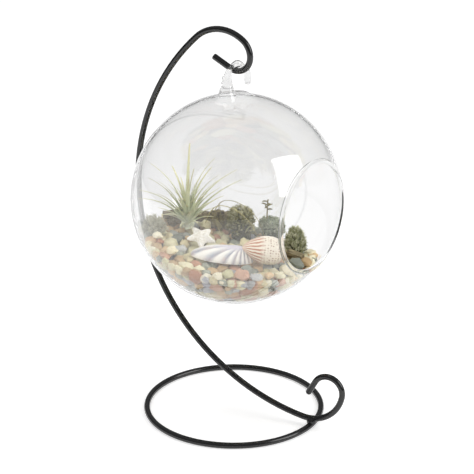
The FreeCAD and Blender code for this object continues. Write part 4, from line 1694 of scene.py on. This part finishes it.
@dataclass
class Driftwood:
    """Weathered stick behind the plant and the split chip by the opening."""

    place: tuple[float, float] = (-0.587, 0.117)
    length: float = 33.0
    width: float = 7.0
    turn: float = 41.0
    outline: tuple[tuple[float, float], ...] = (
        (-0.48, 0.7), (-0.3, 0.95), (-0.1, 0.8), (0.12, 1.0), (0.34, 0.85), (0.48, 0.6),
    )
    shards: tuple[tuple[float, float, float, float, float], ...] = (
        (-20.0, 13.0, 10.0, 12.0, 20), (-15.5, 16.5, 7.5, 10.5, -14), (-24.0, 15.5, 8.0, 9.0, 8),
        (-41.0, -1.0, 9.0, 7.5, -24), (-36.5, 5.5, 7.0, 8.5, 12),
    )
    chip_place: tuple[float, float] = (0.570, 0.138)
    chip_size: tuple[float, float, float] = (10.0, 5.0, 3.5)
    finish: WeatheredBark = field(default_factory=WeatheredBark)

    def width_share(self, share: float) -> float:
        """Width of the stick at a place along it, from -0.5 to 0.5."""
        for (a, low), (b, high) in zip(self.outline, self.outline[1:]):
            if share <= b:
                return low + (high - low) * max(0.0, (share - a) / (b - a))
        return self.outline[-1][1]

    def stick(self) -> bpy.types.Object:
        """Round bar swollen by its outline, with bark ridges raised along it."""
        clear_selection()
        bpy.ops.mesh.primitive_cylinder_add(vertices=36, radius=0.5, depth=1, rotation=(0, math.pi / 2, 0))
        log_piece = settle(bpy.context.object)
        log_piece.name = "driftwood_bark"
        edit(log_piece, "EDGE", everything=False)
        leave_edit()
        for edge in log_piece.data.edges:
            a, b = (log_piece.data.vertices[i].co for i in edge.vertices)
            edge.select = abs(a.x - b.x) > 0.5
        bpy.ops.object.mode_set(mode="EDIT")
        bpy.ops.mesh.subdivide(number_cuts=40)
        leave_edit()
        way = level(self.turn)
        side = Vector((-way.y, way.x, 0))
        foot = on_bed(*self.place)
        for point in log_piece.data.vertices:
            share = point.co.x
            around = math.atan2(point.co.z, point.co.y)
            ridge = 0.08 * math.sin(around * 9 + 2.2 * math.sin(share * 7)) + 0.05 * math.sin(
                around * 5 + share * 19
            )
            knot = 0.07 * math.sin(share * 23 + around * 2)
            radius = self.width / 2 * (self.width_share(share) * 0.97 + ridge + knot - 0.04)
            if abs(point.co.y) + abs(point.co.z) < 0.01:
                radius = 0
            end = math.sqrt(point.co.y**2 + point.co.z**2) / 0.5
            spot = foot + way * (self.length * share * 0.98)
            spot.z = bed_top(spot.x) + self.width / 2 + 0.7
            spot += side * (radius * end * math.cos(around)) + UP * (radius * end * math.sin(around))
            point.co = spot * MM
        close_mesh(log_piece)
        smooth_over(log_piece, 50)
        return log_piece

    def shard(self, x: float, y: float, wide: float, tall: float, lean: float) -> bpy.types.Object:
        """Broken slab of bark that stands in the gravel beside the stick.

        Args:
            x: Place along X from the globe's axis, in millimetres.
            y: Place along Y.
            wide: Width of the slab.
            tall: Height of the slab.
            lean: How far it leans sideways, in degrees.

        Returns:
            The slab, with its foot in the gravel.
        """
        clear_selection()
        bpy.ops.mesh.primitive_cube_add(size=1)
        piece = bpy.context.object
        edit(piece, "EDGE")
        bpy.ops.transform.resize(value=(wide, 2.6, tall))
        bpy.ops.mesh.subdivide(number_cuts=7)
        bpy.ops.mesh.select_mode(type="VERT")
        bpy.ops.transform.vertex_random(offset=0.7, normal=0.3, seed=int(abs(x * 7)))
        bpy.ops.mesh.vertices_smooth(factor=0.4)
        leave_edit()
        for point in piece.data.vertices:
            rise = point.co.z / tall + 0.5
            point.co.x *= 1.05 - 0.55 * rise * (1 if lean > 0 else 0.7)
            point.co.y += 0.9 * math.sin(point.co.x * 0.9)
        spot = GLOBE_CENTRE + Vector((x, y, 0))
        spot.z = bed_top(spot.x) + tall * 0.36
        piece.data.transform(
            Matrix.Translation(spot * MM)
            @ Matrix.Rotation(math.radians(VIEW_TURN), 4, "Z")
            @ Matrix.Rotation(math.radians(lean), 4, "Y")
            @ Matrix.Scale(MM, 4)
        )
        smooth_over(piece, 35)
        return piece

    def chip(self) -> bpy.types.Object:
        """Split chip: a block with bevelled, roughened faces, flat on the slope."""
        clear_selection()
        bpy.ops.mesh.primitive_cube_add(size=1)
        piece = bpy.context.object
        piece.name = "wood_chip_split"
        edit(piece, "EDGE")
        bpy.ops.transform.resize(value=self.chip_size)
        bpy.ops.mesh.subdivide(number_cuts=5)
        bpy.ops.mesh.select_mode(type="VERT")
        bpy.ops.transform.vertex_random(offset=0.28, seed=5)
        bpy.ops.mesh.vertices_smooth(factor=0.5)
        leave_edit()
        foot = on_bed(*self.chip_place)
        lift = foot + UP * (self.chip_size[2] / 2 + 0.3)
        piece.data.transform(
            Matrix.Translation(lift * MM)
            @ Matrix.Rotation(math.atan(BED_SLOPE), 4, "Y")
            @ Matrix.Scale(MM, 4)
        )
        smooth_over(piece, 35)
        return piece

    def build(self) -> None:
        """Make the stick and the chip."""
        wood = join("driftwood_bark", [self.stick()] + [self.shard(*sizes) for sizes in self.shards])
        for piece, node in ((wood, "driftwood"), (self.chip(), "wood_chip")):
            self.finish.dress(piece)
            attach(piece, Body.GLOBE.value)
            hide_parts(node)
            log.info("%s: %d faces", piece.name, len(piece.data.polygons))


# Shells.


@dataclass
class Cockle:
    """Cockle valve: an oval dome whose ribs fan out from the beak near its back edge."""

    place: tuple[float, float] = (0.062, -0.410)
    length: float = 35.0
    width: float = 14.0
    height: float = 7.0
    edge: float = 1.6
    groove_depth: float = 1.1
    ribs: int = 20
    turn: float = VIEW_TURN
    beak: tuple[float, float] = (0.66, 0.5)
    set_back: float = 1.4
    lift: float = 0.8
    rings: tuple[tuple[float, float], ...] = (
        (1.0, 0.0), (0.94, 0.22), (0.86, 0.42), (0.74, 0.62), (0.6, 0.78), (0.45, 0.9), (0.3, 0.96),
        (0.15, 0.99), (0.04, 1.0),
    )
    finish: CockleShell = field(default_factory=CockleShell)

    def margin(self, angle: float, beak_x: float, beak_y: float) -> float:
        """Distance from the beak to the oval margin in a direction in radians."""
        x, y = math.cos(angle), math.sin(angle)
        a = (x / (self.length / 2)) ** 2 + (y / (self.width / 2)) ** 2
        b = beak_x * x / (self.length / 2) ** 2 + beak_y * y / (self.width / 2) ** 2
        c = (beak_x / (self.length / 2)) ** 2 + (beak_y / (self.width / 2)) ** 2 - 1
        return (-b + math.sqrt(b * b - a * c)) / a

    def build(self) -> bpy.types.Object:
        """Draw rings in from the margin to the beak, then press the grooves between the ribs.

        Returns:
            The shell, riding on the globe's body.
        """
        points = self.ribs * 6
        beak_x, beak_y = self.length / 2 * self.beak[0], self.width / 2 * self.beak[1]
        clear_selection()
        bpy.ops.mesh.primitive_circle_add(vertices=points, radius=1, fill_type="NGON")
        shell = bpy.context.object
        shell.name = "cockle_ribbed"
        edit(shell)
        bpy.ops.mesh.extrude_region_move(TRANSFORM_OT_translate={"value": (0, 0, 1)})
        last = 1.0
        for reach, _ in self.rings[1:]:
            bpy.ops.mesh.extrude_region_move(TRANSFORM_OT_translate={"value": (0, 0, 1)})
            share = reach / last
            bpy.ops.transform.resize(value=(share, share, 1), center_override=(0, 0, 0))
            last = reach
        leave_edit()
        along = level(self.turn)
        back = Vector((-along.y, along.x, 0))
        foot = on_bed(*self.place) + back * self.set_back
        grooves, reaches = [], []
        for point in shell.data.vertices:
            tier = round(point.co.z)
            reach = math.hypot(point.co.x, point.co.y)
            angle = math.atan2(point.co.y, point.co.x)
            groove = (0.5 - 0.5 * math.cos(angle * self.ribs)) ** 1.6
            out = self.margin(angle, beak_x, beak_y) * reach
            spot = foot + along * (beak_x + math.cos(angle) * out) + back * (beak_y + math.sin(angle) * out)
            if tier == 0:
                height = 0.2
            else:
                height_share = self.rings[tier - 1][1]
                fade = min(1.0, max(0.0, (reach - 0.2) / 0.4))
                height = self.edge + (self.height - self.edge) * height_share
                height -= self.groove_depth * groove * fade + 0.15 * math.sin(reach * 40) * fade
            spot.z = bed_top(spot.x) + self.lift + height
            point.co = spot * MM
            grooves.append(groove * (0 if tier == 0 else 1))
            reaches.append(reach)
        # The groove mark also tells the finish where to paint the shade in the grooves.
        mark_points(shell.data, "groove", grooves)
        mark_points(shell.data, "reach", reaches)
        close_mesh(shell)
        smooth_over(shell, 60)
        self.finish.dress(shell)
        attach(shell, Body.GLOBE.value)
        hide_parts("cockle_shell")
        log.info("cockle: %d faces", len(shell.data.polygons))
        return shell


@dataclass
class Whelk:
    """Sea snail shell lying on its side: a long body whorl and a stepped, pointed spire."""

    place: tuple[float, float] = (0.386, -0.179)
    length: float = 23.5
    width: float = 16.0
    turn: float = 208.7
    lean: float = 7.0
    steps: int = 64
    outline: tuple[tuple[float, float], ...] = (
        (0.0, 0.2), (0.02, 0.4), (0.06, 0.64), (0.12, 0.82), (0.2, 0.93), (0.3, 0.99), (0.4, 1.0),
        (0.5, 0.985), (0.58, 0.93), (0.63, 0.86), (0.65, 0.84), (0.7, 0.79), (0.75, 0.7), (0.77, 0.68),
        (0.82, 0.6), (0.86, 0.49), (0.88, 0.47), (0.92, 0.36), (0.94, 0.3), (0.97, 0.19), (1.0, 0.04),
    )
    finish: WhelkShell = field(default_factory=WhelkShell)

    def build(self) -> bpy.types.Object:
        """Spin the stepped outline, give it its map and lay it on the gravel.

        Returns:
            The shell, riding on the globe's body.
        """
        clear_selection()
        bpy.ops.mesh.primitive_circle_add(
            vertices=self.steps, radius=self.width / 2 * self.outline[0][1], fill_type="NGON"
        )
        shell = bpy.context.object
        shell.name = "whelk_spired"
        edit(shell)
        for (low, narrow), (high, wide) in zip(self.outline, self.outline[1:]):
            bpy.ops.mesh.extrude_region_move(
                TRANSFORM_OT_translate={"value": (0, 0, self.length * (high - low))}
            )
            share = wide / narrow
            bpy.ops.transform.resize(value=(share, share, 1), center_override=(0, 0, 0))
        leave_edit()
        close_mesh(shell)
        chart = shell.data.uv_layers.new(name="whorl")
        for face in shell.data.polygons:
            turns = [
                math.atan2(shell.data.vertices[i].co.y, shell.data.vertices[i].co.x) / (2 * math.pi)
                for i in face.vertices
            ]
            wraps = max(turns) - min(turns) > 0.5
            for loop, i, around in zip(face.loop_indices, face.vertices, turns):
                around = around + 1 if wraps and around < 0 else around
                rise = shell.data.vertices[i].co.z / self.length
                chart.data[loop].uv = (around, rise - 0.05 * around)
        for point in shell.data.vertices:
            around = math.atan2(point.co.y, point.co.x)
            ridge = 1 + 0.012 * math.sin(around * 24)
            point.co.x *= ridge
            point.co.y *= ridge
        bulge = self.length * 0.34
        way = level(self.turn)
        tilt = Matrix.Rotation(math.radians(90 - self.lean), 4, Vector((-way.y, way.x, 0)))
        foot = on_bed(*self.place)
        middle = foot - way * (self.length / 2 - bulge)
        middle.z = bed_top(middle.x) + self.width / 2 * math.sqrt(1 + BED_SLOPE**2) + 0.2
        shell.data.transform(
            Matrix.Translation(middle * MM)
            @ tilt
            @ Matrix.Translation((0, 0, -bulge * MM))
            @ Matrix.Scale(MM, 4)
        )
        smooth_over(shell, 60)
        self.finish.dress(shell)
        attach(shell, Body.GLOBE.value)
        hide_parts("snail_shell")
        log.info("whelk: %d faces", len(shell.data.polygons))
        return shell


@dataclass
class DriedStar:
    """Dried starfish: ridged arms that taper from a low middle."""

    name: str
    node: str
    place: tuple[float, float]
    width: float
    waist: float
    height: float
    arms: int
    turn: float
    finish: ChalkyShell
    lean: float = 0.0
    lean_side: float = VIEW_TURN
    lift: float = 0.2

    def build(self) -> bpy.types.Object:
        """Raise a star outline to a ridged crown and round it by subdivision.

        Returns:
            The star, riding on the globe's body.
        """
        clear_selection()
        bpy.ops.mesh.primitive_circle_add(vertices=4 * self.arms, radius=1, fill_type="NGON")
        star = bpy.context.object
        star.name = self.name
        edit(star, "FACE")
        bpy.ops.mesh.extrude_region_move(TRANSFORM_OT_translate={"value": (0, 0, 1)})
        bpy.ops.mesh.inset(thickness=0.3)
        bpy.ops.transform.translate(value=(0, 0, 1))
        bpy.ops.mesh.inset(thickness=0.45)
        bpy.ops.transform.translate(value=(0, 0, 0.6))
        bpy.ops.mesh.poke()
        leave_edit()
        foot = on_bed(*self.place)
        for point in star.data.vertices:
            reach = math.hypot(point.co.x, point.co.y)
            angle = math.atan2(point.co.y, point.co.x)
            wave = 0.5 + 0.5 * math.cos(angle * self.arms)
            wave = wave**1.6
            radius = (self.waist / 2 + (self.width / 2 - self.waist / 2) * wave) * reach
            height = self.height * (point.co.z / 2.6) * (0.55 + 0.45 * (1 - reach * 0.8))
            turn = angle + math.radians(self.turn)
            spot = foot + Vector((radius * math.cos(turn), radius * math.sin(turn), 0))
            spot.z = bed_top(spot.x) + self.lift + height
            point.co = spot * MM
        if self.lean:
            side = level(self.lean_side)
            front = foot + side.cross(UP) * (self.width / 2)
            front.z = bed_top(front.x) + self.lift
            star.data.transform(
                Matrix.Translation(front * MM)
                @ Matrix.Rotation(math.radians(self.lean), 4, side)
                @ Matrix.Translation(-front * MM)
            )
        close_mesh(star)
        apply_modifier(star, "SUBSURF", levels=2, render_levels=2)
        smooth_over(star, 60)
        self.finish.dress(star)
        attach(star, Body.GLOBE.value)
        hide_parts(self.node)
        log.info("%s: %d faces", self.name, len(star.data.polygons))
        return star


# Studio.


@dataclass
class Studio:
    """White surround, soft lamps and the camera."""

    azimuth: float = VIEW_TURN
    elevation: float = 21.46
    distance: float = 1025.6
    target: Vector = field(default_factory=lambda: Vector((1.574, 0.862, 108.0)))
    lens: float = 136.8
    ambient: float = 0.5
    horizon: float = 0.05
    overhead: float = 0.3

    def camera(self) -> None:
        """Place the camera where the photograph was taken."""
        turn, rise = math.radians(self.azimuth), math.radians(self.elevation)
        out = Vector((math.sin(turn) * math.cos(rise), -math.cos(turn) * math.cos(rise), math.sin(rise)))
        lens = bpy.data.cameras.new("camera")
        lens.lens = self.lens
        lens.sensor_width = 36
        lens.clip_start = 0.05
        eye = bpy.data.objects.new("camera", lens)
        eye.location = (self.target + out * self.distance) * MM
        eye.rotation_euler = out.to_track_quat("Z", "Y").to_euler()
        bpy.context.scene.collection.objects.link(eye)
        bpy.context.scene.camera = eye

    def lamp(
        self, name: str, place: tuple[float, float, float], size: tuple[float, float], power: float,
        mirrored: bool = True, roll: float = 0.0,
    ) -> None:
        """Hang one soft box that faces the globe.

        Args:
            name: Name of the lamp.
            place: Where it hangs, in metres.
            size: Width and height in metres.
            power: Watts.
            mirrored: Whether glass and steel show the soft box itself.
            roll: Turn about its own axis, in degrees.
        """
        light = bpy.data.lights.new(name, "AREA")
        light.shape = "RECTANGLE"
        light.size, light.size_y = size
        light.energy = power
        box = bpy.data.objects.new(name, light)
        box.location = place
        away = Vector(place) - GLOBE_CENTRE * MM
        facing = away.to_track_quat("Z", "Y") @ Quaternion((0, 0, 1), math.radians(roll))
        box.rotation_euler = facing.to_euler()
        box.visible_glossy = mirrored
        box.visible_transmission = mirrored
        bpy.context.scene.collection.objects.link(box)

    def surround(self) -> None:
        """White world seen directly and through glass; its mirror image is a darker grey."""
        world = bpy.data.worlds.new("white_surround")
        bpy.context.scene.world = world
        world.use_nodes = True
        tree = world.node_tree
        back = tree.nodes["Background"]
        back.inputs["Color"].default_value = linear("#FFFFFF")
        path = add(tree, "ShaderNodeLightPath")
        towards = add(tree, "ShaderNodeTexCoord").outputs["Generated"]
        way = add(tree, "ShaderNodeSeparateXYZ", {"Vector": towards})
        sky = add(
            tree,
            "ShaderNodeMapRange",
            {
                "Value": way.outputs["Z"], "From Min": 0.05, "From Max": 0.6,
                "To Min": self.horizon, "To Max": self.overhead,
            },
        )
        bent = add(
            tree,
            "ShaderNodeMix",
            {"Factor": path.outputs["Is Glossy Ray"], "A": self.ambient, "B": sky.outputs["Result"]},
        )
        seen = add(
            tree,
            "ShaderNodeMath",
            {0: path.outputs["Is Camera Ray"], 1: path.outputs["Is Transmission Ray"]},
            operation="MAXIMUM",
        )
        strength = add(
            tree,
            "ShaderNodeMath",
            {0: seen.outputs[0], 1: bent.outputs[0]},
            operation="MAXIMUM",
        )
        tree.links.new(strength.outputs[0], back.inputs["Strength"])

    def build(self) -> None:
        """Set up the floor, the lamps, the world and the camera."""
        clear_selection()
        bpy.ops.mesh.primitive_grid_add(x_subdivisions=8, y_subdivisions=8, size=6)
        floor = bpy.context.object
        floor.name = "studio_floor"
        PlainSurround().dress(floor)
        self.lamp("key_softbox", (1.0, 0.18, 0.66), (0.7, 0.8), 5.0, roll=-25)
        self.lamp("top_softbox", (-0.1, 0.15, 1.15), (0.95, 0.7), 4.0, mirrored=False)
        self.lamp("top_centre", (-0.1, 0.15, 1.15), (0.8, 0.6), 0.9)
        self.lamp("fill_softbox", (-0.9, -0.9, 0.55), (0.9, 0.9), 3.6, mirrored=False)
        self.surround()
        self.camera()
        bpy.context.scene.view_settings.view_transform = "Standard"
        log.info("studio ready")


def planting() -> list[Any]:
    """All that lies in the globe besides the gravel and the air plant."""
    # Each core is darker than its sprays: painted shade deep in the moss.
    olive = PreservedPlant("preserved_olive_moss", ("#3D3B22", "#8F8C5A", "#EAE6C4"), 0.9)
    olive_shade_core = PreservedPlant("olive_moss_shade_core", ("#35341F", "#545233"), 3.0)
    pale = PreservedPlant("preserved_grey_moss", ("#6B7355", "#9FA588", "#DADCC8"), 1.2)
    pale_shade_core = PreservedPlant("grey_moss_shade_core", ("#555E4C", "#7C8470"), 3.0)
    straw = PreservedPlant("preserved_speckled_moss", ("#5E6646", "#A8AA86", "#E8E5CC"), 0.9)
    straw_shade_core = PreservedPlant("speckled_moss_shade_core", ("#4F5444", "#7A7C64"), 3.0)
    return [
        MossMound(
            "moss_clump_sprays", "moss_clump", (-0.060, 0.198), 15.5, 20, 430, 3.0, olive, olive_shade_core,
            thickness=0.1, seed=4, squareness=0.42,
        ),
        MossMound(
            "moss_block_sprays", "moss_block", (0.174, 0.404), 15, 12, 380, 2.6, pale, pale_shade_core,
            thickness=0.1, seed=5, squareness=0.3,
        ),
        MossMound(
            "moss_tuft_sprays", "moss_tuft", (0.484, 0.318), 12, 15, 260, 3.2, straw, straw_shade_core,
            upright=0.8, thickness=0.1, seed=6,
        ),
        GrassAndTwigs(),
        Driftwood(),
        Cockle(),
        Whelk(),
        DriedStar(
            "starfish_dried", "starfish", (-0.265, -0.235), 20.5, 8.5, 5.5, 5, 10,
            ChalkyShell("dried_white_starfish", ("#DAD4C4", "#FAF8F2")), lean=20,
        ),
        MossMound(
            "coral_grey_spikes", "coral_piece", (-0.750, -0.327), 12, 8, 110, 4.2,
            ChalkyShell("dead_grey_coral", ("#A29F88", "#DAD8C8"), 1.2, 0.4),
            # The coral's core is darker than its spikes: painted shade deep among them.
            ChalkyShell("dead_coral_shade_core", ("#858270", "#ADAA9A"), 1.2, 0.4),
            slot="shell", upright=0.5, thickness=0.09, seed=8,
        ),
    ]


def main() -> None:
    """Build the holder piece by piece, then the studio round it."""
    logging.basicConfig(level=logging.INFO, format="%(name)s: %(message)s")
    WireStand().build()
    GlassGlobe().build()
    GravelBed().build()
    AirPlant().build()
    for piece in planting():
        piece.build()
    Studio().build()


if __name__ == "__main__":
    main()
